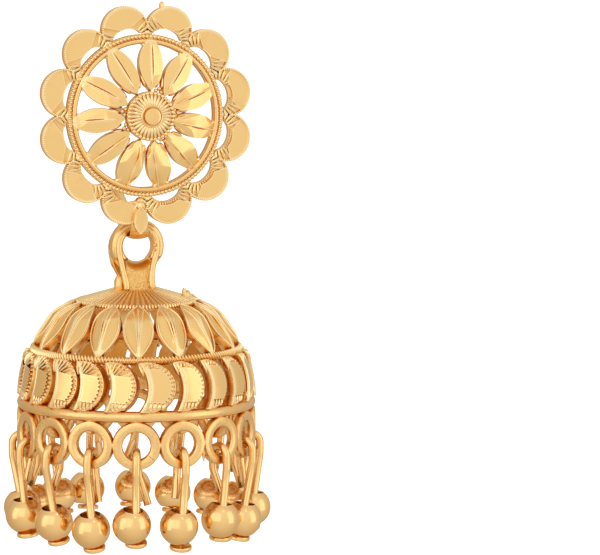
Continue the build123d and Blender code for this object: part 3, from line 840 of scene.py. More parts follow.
def bail():
    """Eye, tapering neck with a sunk sand-cast panel on both faces, and two straps down each face."""
    hole = bell_size("eye_radius")
    rim = bell_size("bail_radius")
    side = [(hole, 0.34), (hole + 0.05, 0.50), (hole + 0.16, 0.62), (hole + 0.34, 0.69),
            (rim - 0.40, 0.70), (rim - 0.22, 0.66), (rim - 0.07, 0.54), (rim, 0.36)]
    eye = lathe("bail_eye", side + [(r, -h) for r, h in reversed(side)], steps=72, about="Y")
    with Editing(eye) as edit:
        edit.pick(lambda v: v.co.z < -1.12)
        squeeze((1, 0.32, 1), (0, 0, 0))
    place(dress(eye, "cast_gold"), shift(0, AXIS_Y, EYE_Z))

    top_z, foot_z = EYE_Z - 0.95, EYE_Z - 3.98
    bpy.ops.mesh.primitive_cube_add(size=1, location=(0, AXIS_Y, (top_z + foot_z) / 2),
                                    scale=(2.26, 1.50, top_z - foot_z))
    neck = settled("bail_neck")
    with Editing(neck, "FACE") as edit:
        edit.pick(lambda f: f.normal.z < -0.9)
        squeeze((1.32, 1.80, 1), (0, AXIS_Y, foot_z))
        everything()
        bpy.ops.mesh.subdivide(number_cuts=11)
    dress(neck, "sand_cast_gold", "satin_painted_shade_gold")
    roughen(neck, 0.06)
    # The slopes of the hole take the satin ground finish, whose warmer, darker colour is painted shade.
    for low, high, level, widening in HOLE_CUTS:
        slope = dress(round_tool("hole_slope", hole + 0.02, 0, low, high, flare=widening, level=level),
                      "satin_painted_shade_gold")
        cut_with(neck, place(slope, shift(0, AXIS_Y, EYE_Z) @ STAND_UP))
    foot_lump = ellipsoid("foot_lump", (0.56, 0.56, 1.0), at=(-1.72, AXIS_Y - 0.50, EYE_Z - 3.45),
                          segments=12, rings=8)
    pieces = [eye, neck, roughen(foot_lump, 0.05)]
    for face, spread in ((-1, 1.0), (1, BACK_STRAPS)):
        for column in (0, 1):
            clear = BACK_WAIST * (2 * column - 1) if face > 0 else 0.0
            rows = []
            for *sides, forward, down, width, thickness in STRAP_SECTIONS:
                x = sides[column] * spread if down > 2 else sides[column] + clear
                rows.append((x, AXIS_Y + face * forward, EYE_Z - down, width, thickness))
            strap = roughen(drawn_bar("bail_strap", rows, sides=12, depth=(0, 1, 0)), 0.022)
            if face < 0 and column == 1:
                for x, rise, radius in CASTING_PITS:
                    pit = ellipsoid("pit", (radius, radius * 1.6, radius),
                                    at=(x, AXIS_Y - 0.98, EYE_Z + rise))
                    cut_with(strap, pit)
            pieces.append(strap)
    bell_part(pieces, "bell_bail", smooth=45)


def cap():
    """Shallow cone with tapering flutes and a beaded edge; a lump of flash was left on its right edge."""
    edge = bell_size("cap_radius")
    root = 1.85
    top_z = EYE_Z - 3.84
    edge_z = EYE_Z - 4.92
    wall = 0.70
    profile = [(0.0, top_z + 0.10), (root, top_z - 0.03), (edge, edge_z - 0.03),
               (edge + 0.05, edge_z - 0.36), (edge - 0.15, edge_z - 0.46), (1.8, top_z - wall),
               (0.0, top_z - wall)]
    cone = dress(lathe("cap_cone", profile, closed=False, steps=120), "satin_painted_shade_gold")
    flutes = bell_count("cap_flutes")
    slope = degrees(atan2(top_z - edge_z, edge - root))
    run = hypot(edge - root, top_z - edge_z)
    bpy.ops.mesh.primitive_cone_add(vertices=10, radius1=0.140, radius2=0.085, depth=run)
    flute = dress(added("cap_flute"), "beaded_painted_highlight_gold")
    middle = ((edge + root) / 2, 0, (top_z + edge_z) / 2 - 0.015)
    place(flute, Matrix.Translation(middle) @ turned(slope, "Y") @ turned(-90, "Y"))
    pieces = [cone, turned_array(flute, flutes, 360 / flutes)]
    pieces.append(beading("cap_grain", (0.20, 0.140, 0.30), (edge + 0.04, 0, edge_z - 0.15), 118,
                          segments=6, rings=5))
    for at, sizes, lean in CAP_FLASH:
        lump = ellipsoid("flash", sizes, segments=9, rings=7)
        with Editing(lump) as edit:
            edit.pick(lambda v: v.co.z > 0.1)
            squeeze((0.55, 0.60, 1.15), (0, 0, 0))
        place(lump, Matrix.Translation(at) @ turned(lean, "Y"))
        pieces.append(roughen(place(lump, turned(FLASH_SIDE)), 0.05))
    bell_part(pieces, "bell_cap", ON_AXIS)


FLASH_SIDE = 68.0               # the flash on the cap's edge was left this far round to the right
# Its lumps before they are turned there: place, half sizes and lean in degrees.
CAP_FLASH = [
    ((-0.10, -4.38, -16.46), (0.50, 0.42, 0.60), 4),
    ((0.0, -4.66, -16.66), (0.66, 0.66, 0.56), 8),
    ((0.05, -5.02, -16.84), (0.60, 0.66, 0.44), 14),
]

LEAF_BEND = 66.0                # the leaf follows the shoulder through this turn
LEAF_LENGTH = 5.0               # along its back
LEAF_THICK = 1.0
LEAF_ROOFS = ((0.0, 7), (0.12, 16))     # the two pairs of cuts that crown it: ridge above its back, fall
LEAF_MIDDLE = (7.33, -7.14)     # distance from the axis and height from the eye of the middle of its back
LEAF_TILT = 43.0                # its back leans inwards by this much
FIRST_LEAF = -15.7              # azimuth of the front one
# Depth of the left and right bright cut of single leaves, and how far the cutter leaned downwards.
LEAF_CUTS = [
    (0.03, 0.00, 2), (0.06, 0.02, -1), (0.00, 0.05, 3), (0.05, -0.03, -2), (0.02, 0.06, 2),
    (0.08, 0.00, 1), (-0.02, 0.04, -1),
]
FACET_FALL = 19.0               # a leaf's facets fall sideways by this many degrees
FACET_LEAN = 9.0                # and look down by this many
FACET_DOWN = -0.85              # middle of a facet, below the leaf's middle
FACET_ASIDE = 0.45              # and beside it
FACET_DEPTH = 0.36              # how deep the cutter went there


def bent_over_shoulder(obj):
    return bent(place(obj, STAND_UP), "X", LEAF_BEND)


def leaf_blank():
    """Leaf before it is cut, upright: crowned pointed plate bent over the shoulder."""
    plate = lens_plate("leaf", LEAF_LENGTH, bell_size("leaf_width"), LEAF_THICK, sides=64)
    with Editing(plate) as edit:
        edit.pick(lambda v: v.co.z < 0.01)
        squeeze((1.10, 1, 1), (0, 0, 0))
    for rise, fall in LEAF_ROOFS:
        roof_cut(plate, 0.0, LEAF_THICK + rise, fall, fall)
    cuts = 16
    for k in range(1, cuts):
        score(plate, (0, LEAF_LENGTH * (k / cuts - 0.5), 0), (0, 1, 0))
    return bent_over_shoulder(dress(plate, "cast_gold"))


def leaf_height(x, y):
    """Height of the cut leaf before it is bent: the crowned blank, or the facet where that lies lower."""
    x = abs(x)
    crown = min(LEAF_THICK + rise - x * tan(radians(fall)) for rise, fall in LEAF_ROOFS)
    bow = (y + 0.72) ** 2 / 7.05
    facet = LEAF_THICK - FACET_DEPTH + 0.07 + bow - (x - FACET_ASIDE) * tan(radians(FACET_FALL))
    return min(crown, facet)


def leaf_veins():
    """Three fine ridges that run together at the leaf's foot, and a rim along both of its edges."""
    wide = bell_size("leaf_width")
    arc = arc_radius(LEAF_LENGTH, wide)
    steps = 12
    ridges = []
    for side in (-1, 0, 1):
        rows = []
        for k in range(steps + 1):
            y = LEAF_LENGTH * (-0.49 + 0.90 * k / steps)
            x = side * (0.06 + 0.42 * (k / steps) ** 1.5)
            rows.append((x, y, leaf_height(x, y) - 0.01, 0.17 if side else 0.22, 0.22))
        ridges.append(drawn_bar("leaf_vein", rows, sides=6, depth=(0, 0, 1)))
    for side in (-1, 1):
        half = asin(LEAF_LENGTH / 2 / arc) * 0.97
        rows = []
        for k in range(steps + 1):
            a = half * (2 * k / steps - 1)
            x = side * (arc * cos(a) - arc + wide / 2 - 0.05)
            y = arc * sin(a)
            rows.append((x, y, leaf_height(x, y) + 0.02, 0.17, 0.22))
        ridges.append(drawn_bar("leaf_rim", rows, sides=6, depth=(0, 0, 1)))
    return bent_over_shoulder(dress(joined(ridges, "leaf_veins"), "beaded_painted_highlight_gold"))


def cut_leaf(blank, veins, left, right, lean_deg):
    """Two flat bright cuts beside the vein, each a pointed facet because the leaf is curved."""
    leaf = copy_of(blank, "leaf_copy")
    fall, lean = radians(FACET_FALL), radians(FACET_LEAN + lean_deg)
    normals = []
    for side, depth in ((-1, left), (1, right)):
        normal = Vector((side * sin(fall), -cos(fall) * cos(lean), -sin(lean)))
        pare(leaf, (side * FACET_ASIDE, -LEAF_THICK + FACET_DEPTH + depth, FACET_DOWN), normal)
        normals.append(normal.normalized())
    two_tone(leaf, lambda p: p.area > 0.15 and any(p.normal.dot(n) > 0.999 for n in normals))
    return joined([leaf, copy_of(veins, "veins_copy")], "leaf_copy")


def leaf_row():
    blank, veins = leaf_blank(), leaf_veins()
    number = bell_count("leaves")
    out, up = LEAF_MIDDLE
    seat = shift(0, AXIS_Y - out, EYE_Z + up)
    leaves = []
    for k in range(number):
        piece = cut_leaf(blank, veins, *LEAF_CUTS[k % len(LEAF_CUTS)])
        around = azimuth(FIRST_LEAF + 360 / number * k)
        leaves.append(place(piece, around @ seat @ turned(-LEAF_TILT, "X")))
    scrap(blank, veins)
    bell_part(leaves, "bell_leaves", smooth=25)


ROPE_DOWN = 9.30                # height of the rope ring below the eye
ROPE_GRAINS = 187
ROPE_SLANT = 24.0               # how far its grains lean


def rope_ring():
    """Ring of slanted grains between the leaves and the crescents."""
    z = EYE_Z - ROPE_DOWN
    core = dress(round_wire("rope_core", 9.28, 0.22, (0, 0, z), around=120), "satin_painted_shade_gold")
    shelf = lathe("rope_shelf", [(8.60, z - 0.20), (9.25, z - 0.45), (9.45, z - 0.20), (9.2, z + 0.2),
                                 (8.7, z + 0.2)])
    grain = ellipsoid("rope_grain", (0.29, 0.122, 0.40), skin="beaded_painted_highlight_gold")
    place(grain, shift(9.42, 0, z) @ turned(ROPE_SLANT, "X"))
    grains = turned_array(grain, ROPE_GRAINS, 360 / ROPE_GRAINS)
    bell_part([core, dress(shelf, "cast_gold"), grains], "bell_rope_ring", ON_AXIS)


def round_tool(name, radius, x, low, high, y=0.0, teeth=0, flare=0.0, level=0.0):
    """Upright round cutter for a plate lying flat. With teeth, every other point lies further in; with a
    flare, it widens downwards by that much per millimetre and has its radius at the given level."""
    points = teeth * 2 if teeth else 128
    bpy.ops.mesh.primitive_cone_add(vertices=points, radius1=radius + flare * (level - low),
                                    radius2=radius - flare * (high - level), depth=high - low,
                                    location=(0, 0, (low + high) / 2))
    tool = settled(name)
    if teeth:
        pitch = tau / points
        with Editing(tool) as edit:
            edit.pick(lambda v: round(atan2(v.co.y, v.co.x) / pitch) % 2 == 0)
            squeeze((TOOTH_FOOT, TOOTH_FOOT, 1), (0, 0, 0))
    return place(tool, shift(x, y, 0))


def slab(name, x_low, x_high, height, low, high):
    bpy.ops.mesh.primitive_cube_add(size=1, location=((x_low + x_high) / 2, 0, (low + high) / 2),
                                    scale=(x_high - x_low, height, high - low))
    return settled(name)


CRESCENT_LEFT_R = 3.7           # radius of the hollow left edge
CRESCENT_RIGHT_R = 2.25         # radius of the bowed right edge
CRESCENT_LEFT = -0.82           # where the left and right edges lie at mid height
CRESCENT_RIGHT = 1.34
CRESCENT_THICK = 1.10
CRESCENT_FLARE = 0.40           # its right wall widens backwards by this much per millimetre
CRESCENT_TEETH = 34             # teeth of the face's right edge, if they went all round
TOOTH_FOOT = 0.905              # how far in the teeth are cut, as a share of the radius
CRESCENT_STEP = 0.24            # height of the cut face above the ribbed border
FACE_HEIGHT = 0.86              # height of the cut face's blank, as a share of the crescent's
FACE_INSET = 0.25               # the toothed edge lies this far inside the bowed one
CRESCENT_BENDS = (22, 15)       # how far it is bent along its height and round the wall
FOOT_RIBS = 5
FOOT_RIB_PITCH = 0.36

# Two cuts of the crescents: how far up the cut face goes, as a share of the height, and the ribs of the
# fan over it, each with its direction in degrees and where it starts and ends.
LOW_FAN = [(104, 0.34, 1.62), (87, 0.36, 1.60), (71, 0.38, 1.70), (56, 0.44, 1.90), (41, 0.56, 2.08),
           (27, 0.86, 2.14)]
HIGH_FAN = [(108, 0.34, 1.60), (94, 0.60, 1.56), (80, 0.90, 1.56), (67, 1.10, 1.66)]
CRESCENT_CUTS = {"low": (0.23, LOW_FAN), "high": (0.36, HIGH_FAN)}
HIGH_CRESCENTS = range(0, 7)    # the ones cut high, counted from the front one


def crescent(cut):
    """One crescent: smooth rib on the left, cut face with a toothed edge, fans of ribs at both ends."""
    face_top, fan = CRESCENT_CUTS[cut]
    height = bell_size("crescent_height")
    face = CRESCENT_THICK
    low_face = face - CRESCENT_STEP
    right_centre = CRESCENT_RIGHT - CRESCENT_RIGHT_R
    left_centre = CRESCENT_LEFT - CRESCENT_LEFT_R
    body = slab("crescent", -2.2, 2.2, height, 0.0, low_face)
    cut_with(body, round_tool("outside", CRESCENT_RIGHT_R, right_centre, -1, 2, flare=CRESCENT_FLARE,
                              level=low_face), "INTERSECT")
    cut_with(body, round_tool("inside", CRESCENT_LEFT_R, left_centre, -1, 2))
    softened(body, 0.06, 2, 50)
    # The walls take the satin ground finish, whose warmer, darker colour is painted shade.
    two_tone(body, lambda p: p.normal.z < 0.75, "satin_painted_shade_gold")

    plate = slab("crescent_face", -2.2, 2.2, height * FACE_HEIGHT, 0.2, face)
    cut_with(plate, round_tool("toothed", CRESCENT_RIGHT_R - FACE_INSET, right_centre, -1, 2,
                               teeth=CRESCENT_TEETH), "INTERSECT")
    cut_with(plate, round_tool("hollow", CRESCENT_LEFT_R + 0.10, left_centre, -1, 2))
    pare(plate, (-0.55, height * face_top, 0), (0.16, 1, 0))
    pare(plate, (-0.55, -height * 0.30, 0), (-0.05, -1, 0))
    two_tone(plate, lambda p: p.normal.z > 0.9)
    pieces = [body, plate]

    edge_rib = round_wire("edge_rib", CRESCENT_LEFT_R + 0.15, 0.22, (left_centre, 0, low_face + 0.07),
                          around=160, across=10)
    for side in (-1, 1):
        pare(edge_rib, (0, side * height * 0.47, 0), (0, side, 0))
    pare(edge_rib, (-3, 0, 0), (-1, 0, 0))
    pieces.append(dress(edge_rib, "cast_gold"))

    near, far = CRESCENT_RIGHT_R - 0.40, CRESCENT_RIGHT_R - 0.04
    for k in range(-8, 9):
        a = tau * k / CRESCENT_TEETH
        start = (right_centre + near * cos(a), near * sin(a), low_face + 0.07)
        end = (right_centre + far * cos(a), far * sin(a), low_face - 0.02)
        pieces.append(rib("border_rib", start, end, 0.21, 0.36, segments=6, rings=5, skin="beaded_painted_highlight_gold"))
    root = Vector((-1.05, height * 0.14, face - 0.12))
    for angle, near, far in fan:
        way = Vector((cos(radians(angle)), sin(radians(angle)), -0.05))
        pieces.append(rib("fan_rib", root + way * near, root + way * far, 0.27, 0.60, segments=7, rings=6,
                          skin="beaded_painted_highlight_gold"))
    foot = Vector((-1.30, -height * 0.285, face - 0.12))
    for k in range(FOOT_RIBS):
        x = foot.x + 0.10 + FOOT_RIB_PITCH * k
        start = (x + 0.16, foot.y - 0.02 - 0.03 * k, foot.z - 0.08)
        end = (x - 0.04, -height * 0.485 + 0.03 * k, foot.z - 0.14)
        pieces.append(rib("fan_rib", start, end, 0.36, 0.46, segments=7, rings=6, skin="beaded_painted_highlight_gold"))
    whole = place(joined(pieces, "crescent"), shift(0, 0, -low_face))
    place(whole, STAND_UP)
    for k in range(1, 10):
        score(whole, (0, 0, height * (k / 10 - 0.5)), (0, 0, 1))
    for k in range(-3, 5):
        score(whole, (0.3 * k, 0, 0), (1, 0, 0))
    upwards, around = CRESCENT_BENDS
    return bent(bent(whole, "X", upwards), "Z", around)


CRESCENT_PANS = (1.5, -1.0, 2.5, -2.0, 0.5, 3.0, -1.5)  # how far single crescents turn in their place
CRESCENT_SHIFTS = {0: 0.2, 1: 0.6, 20: -1.7, 21: -2.0}  # some were soldered in a little to one side
CRESCENT_STRETCH = {0: 1.15}                            # and one is wider than the rest
FIRST_CRESCENT = -6.1                                   # azimuth of the front one
CRESCENT_SEAT = (10.38, -11.57)                         # distance from the axis, height from the eye
CRESCENT_LEAN = -11.0                                   # they lean inwards by this much


def crescent_row():
    models = {cut: crescent(cut) for cut in CRESCENT_CUTS}
    number = bell_count("crescents")
    out, up = CRESCENT_SEAT
    seat = shift(0, AXIS_Y - out, EYE_Z + up)
    crescents = []
    for k in range(number):
        piece = copy_of(models["high" if k in HIGH_CRESCENTS else "low"], "crescent_copy")
        place(piece, Matrix.Diagonal((CRESCENT_STRETCH.get(k, 1), 1, 1, 1)))
        lean = turned(CRESCENT_LEAN, "X") @ turned(CRESCENT_PANS[k % len(CRESCENT_PANS)])
        around = azimuth(FIRST_CRESCENT + CRESCENT_SHIFTS.get(k, 0) + 360 / number * k)
        crescents.append(place(piece, around @ seat @ lean))
    scrap(*models.values())
    bell_part(crescents, "bell_crescents", smooth=28)


def band():
    """Plain half-round band under the crescents."""
    radius = bell_size("band_radius")
    z = RING_FOOT_Z + 4.68
    arc = [(radius - 0.50 + 0.50 * cos(radians(a)), z + 0.50 * sin(radians(a)))
           for a in range(-90, 91, 15)]
    profile = arc + [(radius - 0.95, z + 0.44), (radius - 0.95, z - 0.44)]
    bell_part([dress(lathe("bell_band", profile, steps=128), "cast_gold")], "bell_band", ON_AXIS)


def flat_ring():
    """One soldered ring lying flat, with softened edges."""
    hole, rim, half = bell_size("ring_hole"), bell_size("ring_radius"), 0.40
    side = [(hole, 0.20), (hole + 0.06, 0.33), (hole + 0.18, half), (rim - 0.20, half),
            (rim - 0.06, 0.34), (rim, 0.20)]
    profile = side + [(r, -h) for r, h in reversed(side)]
    return dress(lathe("flat_ring", profile, steps=56), "cast_gold")


RING_SEAMS = {0: -38.0, 3: 120.0, 7: 200.0, 11: 20.0, 14: 250.0}    # rings with an open joint, and where
SOLDER_RUNS = (1, 6, 10)                            # gaps where solder ran down to a point
RING_OUT = 10.46                                    # distance of the rings from the axis


def ring_row():
    pitch = 360 / DROPS
    z = RING_FOOT_Z + bell_size("ring_radius")
    rings = []
    model = flat_ring()
    for k in range(DROPS):
        piece = copy_of(model, "ring_copy")
        if k in RING_SEAMS:
            cut_with(piece, place(slab("seam", 1.0, 3.0, 0.07, 0.22, 1.0), turned(RING_SEAMS[k])))
        here, beside = azimuth(FIRST_DROP + pitch * k), azimuth(FIRST_DROP + pitch * (k + 0.5))
        rings.append(place(piece, here @ shift(0, AXIS_Y - RING_OUT, z) @ STAND_UP))
        joint = ellipsoid("ring_joint", (0.30, 0.34, 0.34), at=(0, AXIS_Y - 10.62, z + 0.05))
        crown = ellipsoid("ring_crown", (0.62, 0.34, 0.30), at=(0, AXIS_Y - 10.42, z + 1.98))
        rings += [place(joint, beside), place(crown, here)]
    for k in SOLDER_RUNS:
        bpy.ops.mesh.primitive_cone_add(vertices=12, radius1=0.06, radius2=0.26, depth=1.5)
        run = place(added("solder_run"), shift(0.12, AXIS_Y - 10.55, z - 0.95))
        rings.append(dress(place(run, azimuth(FIRST_DROP + pitch * (k + 0.5))), "cast_gold"))
    scrap(model)
    bell_part(rings, "bell_ring_row")


# ---- drops and ear post ----
def drawn_piece(node, name, body):
    """Polished copy of a CAD node, its corners merged so that round faces shade smoothly."""
    piece = copy_of(frame["nodes"][node], name)
    with Editing(piece):
        everything()
        bpy.ops.mesh.remove_doubles(threshold=1e-7)
    done(dress(piece, "polished_gold"), body, node, smooth=40, unit=1.0)


def wire_pieces():
    for k in range(1, DROPS + 1):
        drawn_piece(f"pin_{k:02d}", f"head_pin_{k:02d}", BELL_BODY)


def ear_post():
    drawn_piece("ear_post", "post", ROSETTE_BODY)


def ball_bead():
    """Hollow ball about Z with rolled edges round both holes."""
    radius, hole, wall = bell_size("bead_radius"), bell_size("bead_hole"), 0.30
    steps = 22

    def half_circle(r, mouth):
        start = asin(mouth / r)
        turns = [start + (pi - 2 * start) * k / steps for k in range(steps + 1)]
        return [(r * sin(a), r * cos(a)) for a in turns]

    outside = half_circle(radius, hole + 0.05)
    inside = half_circle(radius - wall, hole + 0.04)[::-1]
    lip_top = (hole, (outside[0][1] + inside[-1][1]) / 2)
    lip_foot = (hole, (outside[-1][1] + inside[0][1]) / 2)
    return lathe("ball_bead", outside + [lip_foot] + inside + [lip_top], steps=48)


KNEE = (11.30, 0.35)            # a pin's knee: distance from the axis, height below the rings


def bead_pieces():
    model = dress(ball_bead(), "polished_gold")
    out, down = KNEE
    for k in range(DROPS):
        node = f"bead_{k + 1:02d}"
        low, high = corners(node)
        middle = (low + high) / 2
        knee = azimuth(FIRST_DROP + 360 / DROPS * k) @ Vector((0, AXIS_Y - out, RING_FOOT_Z - down))
        lean = Vector((0, 0, 1)).rotation_difference((knee - middle).normalized()).to_matrix().to_4x4()
        piece = place(copy_of(model, f"ball_{k + 1:02d}"), Matrix.Translation(middle) @ lean)
        done(piece, BELL_BODY, node, smooth=50)
    scrap(model)


# ---- stage ----
CAMERA_AZIMUTH = -17.0          # the camera stands this far round to the left
CAMERA_AWAY = 260.0             # from the bell's axis, level
CAMERA_RISE = 12.2              # above the rosette's centre
CAMERA_LENS = 171.6
AIM_LEVEL = -14.9               # height that falls in the middle of the view
AIM_RIGHT = 3.29                # degrees that the camera looks past the earring, to its right
CAMERA_ROLL = 0.35              # degrees that the camera leans to its left


def softbox(name, at, aim, size, power, tone):
    bpy.ops.object.light_add(type="AREA", location=Vector(at) * MM)
    lamp = bpy.context.object
    lamp.name = name
    lamp.data.shape = "RECTANGLE"
    lamp.data.size, lamp.data.size_y = size[0] * MM, size[1] * MM
    lamp.data.energy = power
    lamp.data.color = tone
    lamp.rotation_euler = (Vector(aim) - Vector(at)).to_track_quat("-Z", "Y").to_euler()
    return lamp


def backdrop():
    """Pale paper sweep: floor, curve and back wall, far enough to leave the earring hanging free."""
    floor_z, half, back_y, wall_height = -75.0, 1500.0, 420.0, 1600.0
    bpy.ops.mesh.primitive_plane_add(size=2)
    sweep = added("paper_sweep")
    place(sweep, shift(0, back_y - 1000, floor_z) @ Matrix.Diagonal((half, 1000, 1, 1)))
    with Editing(sweep, "EDGE") as edit:
        edit.pick(lambda e: all(abs(v.co.y - back_y) < 1 for v in e.verts))
        extrude(0, 0, wall_height)
    with Editing(sweep, "EDGE") as edit:
        edit.pick(lambda e: all(abs(v.co.y - back_y) < 1 and v.co.z < floor_z + 1 for v in e.verts))
        bpy.ops.mesh.bevel(offset=220, segments=16)
    place(sweep, Matrix.Scale(MM, 4))
    paper = bpy.data.materials.new("backdrop_paper")
    paper.use_nodes = True
    shade = bpy.context.scene.jhumka_colours.backdrop
    surface = paper.node_tree.nodes["Principled BSDF"].inputs
    surface["Base Color"].default_value = shade
    surface["Roughness"].default_value = 0.9
    surface["Emission Color"].default_value = shade
    surface["Emission Strength"].default_value = 0.25
    sweep.data.materials.append(paper)
    sweep.visible_glossy = False
    make_active(sweep)
    bpy.ops.object.shade_smooth()


def camera():
    a = radians(CAMERA_AZIMUTH)
    level = Vector((-sin(a), cos(a), 0))
    right = Vector((cos(a), sin(a), 0))
    stand = Vector((0, AXIS_Y, CAMERA_RISE)) - level * CAMERA_AWAY
    yaw = radians(AIM_RIGHT)
    ahead = level * cos(yaw) + right * sin(yaw)
    sideways = right * cos(yaw) - level * sin(yaw)
    pitch = atan((CAMERA_RISE - AIM_LEVEL) / CAMERA_AWAY * cos(yaw))
    forward = ahead * cos(pitch) - Vector((0, 0, 1)) * sin(pitch)
    roll = Matrix.Rotation(radians(-CAMERA_ROLL), 3, forward)
    sideways = roll @ sideways
    up = sideways.cross(forward)
    bpy.ops.object.camera_add()
    eye = bpy.context.object
    eye.name = "camera"
    eye.data.lens = CAMERA_LENS
    eye.data.sensor_width = 36.0
    eye.data.clip_start, eye.data.clip_end = 0.01, 10.0
    turn = Matrix((sideways, up, -forward)).transposed().to_4x4()
    eye.matrix_world = Matrix.Translation(stand * MM) @ turn
    bpy.context.scene.camera = eye


TENT_LEVEL = 0.69               # share of white cloth seen at the sides
TENT_FRONT = -0.28              # change towards +Y
TENT_TOP = 0.12                 # and towards +Z
TENT_CLOTH = "FCFAF4"
AMBER_REFLECTOR = "8E6A2E"
DAYLIGHT = (1.0, 0.99, 0.97)
# Place in millimetres, size, power in watts and tone.
LAMPS = [
    ("key_softbox", (-290, -350, 150), (430, 460), 0.22, DAYLIGHT),
    ("left_strip", (-420, -90, 60), (220, 460), 0.19, DAYLIGHT),
    ("right_strip", (330, -260, 60), (260, 460), 0.20, DAYLIGHT),
    ("spark", (60, -240, 330), (26, 26), 0.015, (1.0, 0.98, 0.94)),
]


def studio():
    """Light tent, brighter in front and above than behind and below, with softboxes and a small spark."""
    scene = bpy.context.scene
    scene.view_settings.view_transform = "Standard"
    world = bpy.data.worlds.new("light_tent")
    scene.world = world
    world.use_nodes = True
    tree = world.node_tree
    way = add_node(tree, "ShaderNodeTexCoord")
    shares = add_node(tree, "ShaderNodeVectorMath", {0: way.outputs["Generated"]},
                      operation="DOT_PRODUCT")
    shares.inputs[1].default_value = (0.0, TENT_FRONT, TENT_TOP)
    white = add_node(tree, "ShaderNodeMath", {0: shares.outputs["Value"]}, operation="ADD",
                     use_clamp=True)
    white.inputs[1].default_value = TENT_LEVEL
    cloth = add_node(tree, "ShaderNodeMix", {"Factor": white.outputs["Value"]}, data_type="RGBA")
    cloth.inputs["A"].default_value = linear(AMBER_REFLECTOR)
    cloth.inputs["B"].default_value = linear(TENT_CLOTH)
    tree.links.new(cloth.outputs[2], tree.nodes["Background"].inputs["Color"])
    for name, at, size, power, tone in LAMPS:
        softbox(name, at, (0, AXIS_Y, -14), size, power, tone)


# ---- operators ----
class Step:
    """What the operators share: they can be undone."""
    bl_options = {"REGISTER", "UNDO"}


class JHUMKA_OT_golds(Step, bpy.types.Operator):
    """Make the gold finishes"""
    bl_idname = "jhumka.golds"
    bl_label = "Gold finishes"

    def execute(self, context):
        make_golds()
        return {"FINISHED"}


class JHUMKA_OT_frame_ring(Step, bpy.types.Operator):
    """Model the round frame with its beaded wire"""
    bl_idname = "jhumka.frame_ring"
    bl_label = "Rosette frame"

    def execute(self, context):
        frame_ring()
        return {"FINISHED"}


class JHUMKA_OT_scallops(Step, bpy.types.Operator):
    """Model the lobes round the frame"""
    bl_idname = "jhumka.scallops"
    bl_label = "Scallops"

    def execute(self, context):
        scallop_row()
        return {"FINISHED"}


class JHUMKA_OT_petals(Step, bpy.types.Operator):
    """Model the pointed petals"""
    bl_idname = "jhumka.petals"
    bl_label = "Petals"

    def execute(self, context):
        petal_row()
        return {"FINISHED"}


class JHUMKA_OT_hub(Step, bpy.types.Operator):
    """Model the fluted hub"""
    bl_idname = "jhumka.hub"
    bl_label = "Hub"

    def execute(self, context):
        hub()
        return {"FINISHED"}


class JHUMKA_OT_hook(Step, bpy.types.Operator):
    """Model the leaf-faced tab and its hook"""
    bl_idname = "jhumka.hook"
    bl_label = "Hook"

    def execute(self, context):
        hook()
        return {"FINISHED"}


class JHUMKA_OT_bail(Step, bpy.types.Operator):
    """Model the eye and neck of the bell"""
    bl_idname = "jhumka.bail"
    bl_label = "Bail"

    def execute(self, context):
        bail()
        return {"FINISHED"}


class JHUMKA_OT_cap(Step, bpy.types.Operator):
    """Model the fluted cap"""
    bl_idname = "jhumka.cap"
    bl_label = "Cap"

    def execute(self, context):
        cap()
        return {"FINISHED"}


class JHUMKA_OT_leaves(Step, bpy.types.Operator):
    """Model the leaves of the shoulder"""
    bl_idname = "jhumka.leaves"
    bl_label = "Leaves"

    def execute(self, context):
        leaf_row()
        return {"FINISHED"}


class JHUMKA_OT_rope_ring(Step, bpy.types.Operator):
    """Model the ring of slanted grains"""
    bl_idname = "jhumka.rope_ring"
    bl_label = "Rope ring"

    def execute(self, context):
        rope_ring()
        return {"FINISHED"}


class JHUMKA_OT_crescents(Step, bpy.types.Operator):
    """Model the crescents of the wall"""
    bl_idname = "jhumka.crescents"
    bl_label = "Crescents"

    def execute(self, context):
        crescent_row()
        return {"FINISHED"}


class JHUMKA_OT_band(Step, bpy.types.Operator):
    """Model the plain band"""
    bl_idname = "jhumka.band"
    bl_label = "Band"

    def execute(self, context):
        band()
        return {"FINISHED"}


class JHUMKA_OT_ring_row(Step, bpy.types.Operator):
    """Model the row of flat rings"""
    bl_idname = "jhumka.ring_row"
    bl_label = "Ring row"

    def execute(self, context):
        ring_row()
        return {"FINISHED"}


class JHUMKA_OT_pins(Step, bpy.types.Operator):
    """Finish the bent head pins"""
    bl_idname = "jhumka.pins"
    bl_label = "Head pins"

    def execute(self, context):
        wire_pieces()
        return {"FINISHED"}


class JHUMKA_OT_beads(Step, bpy.types.Operator):
    """Model the hollow ball beads"""
    bl_idname = "jhumka.beads"
    bl_label = "Ball beads"

    def execute(self, context):
        bead_pieces()
        return {"FINISHED"}


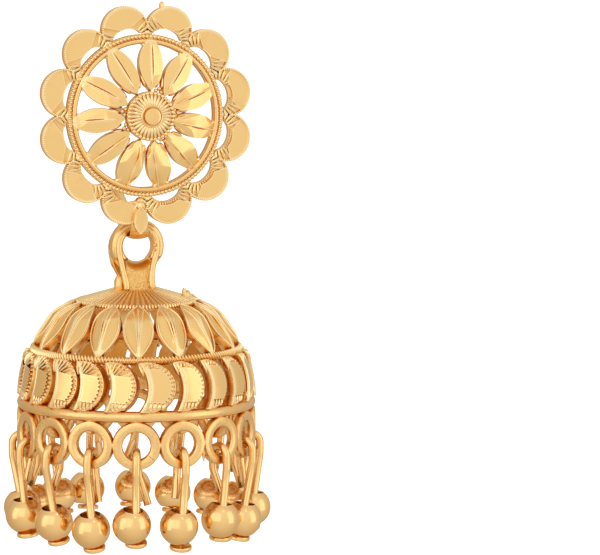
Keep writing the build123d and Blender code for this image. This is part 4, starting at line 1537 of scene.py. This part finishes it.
class JHUMKA_OT_post(Step, bpy.types.Operator):
    """Finish the ear post"""
    bl_idname = "jhumka.post"
    bl_label = "Ear post"

    def execute(self, context):
        ear_post()
        return {"FINISHED"}


class JHUMKA_OT_backdrop(Step, bpy.types.Operator):
    """Set up the pale paper sweep"""
    bl_idname = "jhumka.backdrop"
    bl_label = "Backdrop"

    def execute(self, context):
        backdrop()
        return {"FINISHED"}


class JHUMKA_OT_stage(Step, bpy.types.Operator):
    """Set up the camera and the lights"""
    bl_idname = "jhumka.stage"
    bl_label = "Stage"

    def execute(self, context):
        camera()
        studio()
        return {"FINISHED"}


STEPS = [
    JHUMKA_OT_golds, JHUMKA_OT_frame_ring, JHUMKA_OT_scallops, JHUMKA_OT_petals, JHUMKA_OT_hub,
    JHUMKA_OT_hook, JHUMKA_OT_bail, JHUMKA_OT_cap, JHUMKA_OT_leaves, JHUMKA_OT_rope_ring,
    JHUMKA_OT_crescents, JHUMKA_OT_band, JHUMKA_OT_ring_row, JHUMKA_OT_pins, JHUMKA_OT_beads,
    JHUMKA_OT_post, JHUMKA_OT_backdrop, JHUMKA_OT_stage,
]


class JHUMKA_PT_panel(bpy.types.Panel):
    """Lists the steps of the build and the sizes they use"""
    bl_label = "Jhumka Earring"
    bl_idname = "JHUMKA_PT_panel"
    bl_space_type = "VIEW_3D"
    bl_region_type = "UI"
    bl_category = "Jhumka"

    def draw(self, context):
        for operator in STEPS:
            self.layout.operator(operator.bl_idname)
        for name, group in GROUPS.items():
            box = self.layout.box()
            box.label(text=group.__doc__)
            for prop in group.__annotations__:
                box.prop(getattr(context.scene, name), prop)


CLASSES = [*GROUPS.values(), *STEPS, JHUMKA_PT_panel]


def register():
    for cls in CLASSES:
        bpy.utils.register_class(cls)
    for name, group in GROUPS.items():
        setattr(bpy.types.Scene, name, bpy.props.PointerProperty(type=group))


def unregister():
    for name in GROUPS:
        delattr(bpy.types.Scene, name)
    for cls in reversed(CLASSES):
        bpy.utils.unregister_class(cls)


def main():
    register()
    for operator in STEPS:
        verb = operator.bl_idname.split(".")[1]
        getattr(bpy.ops.jhumka, verb)()


if __name__ == "__main__":
    main()
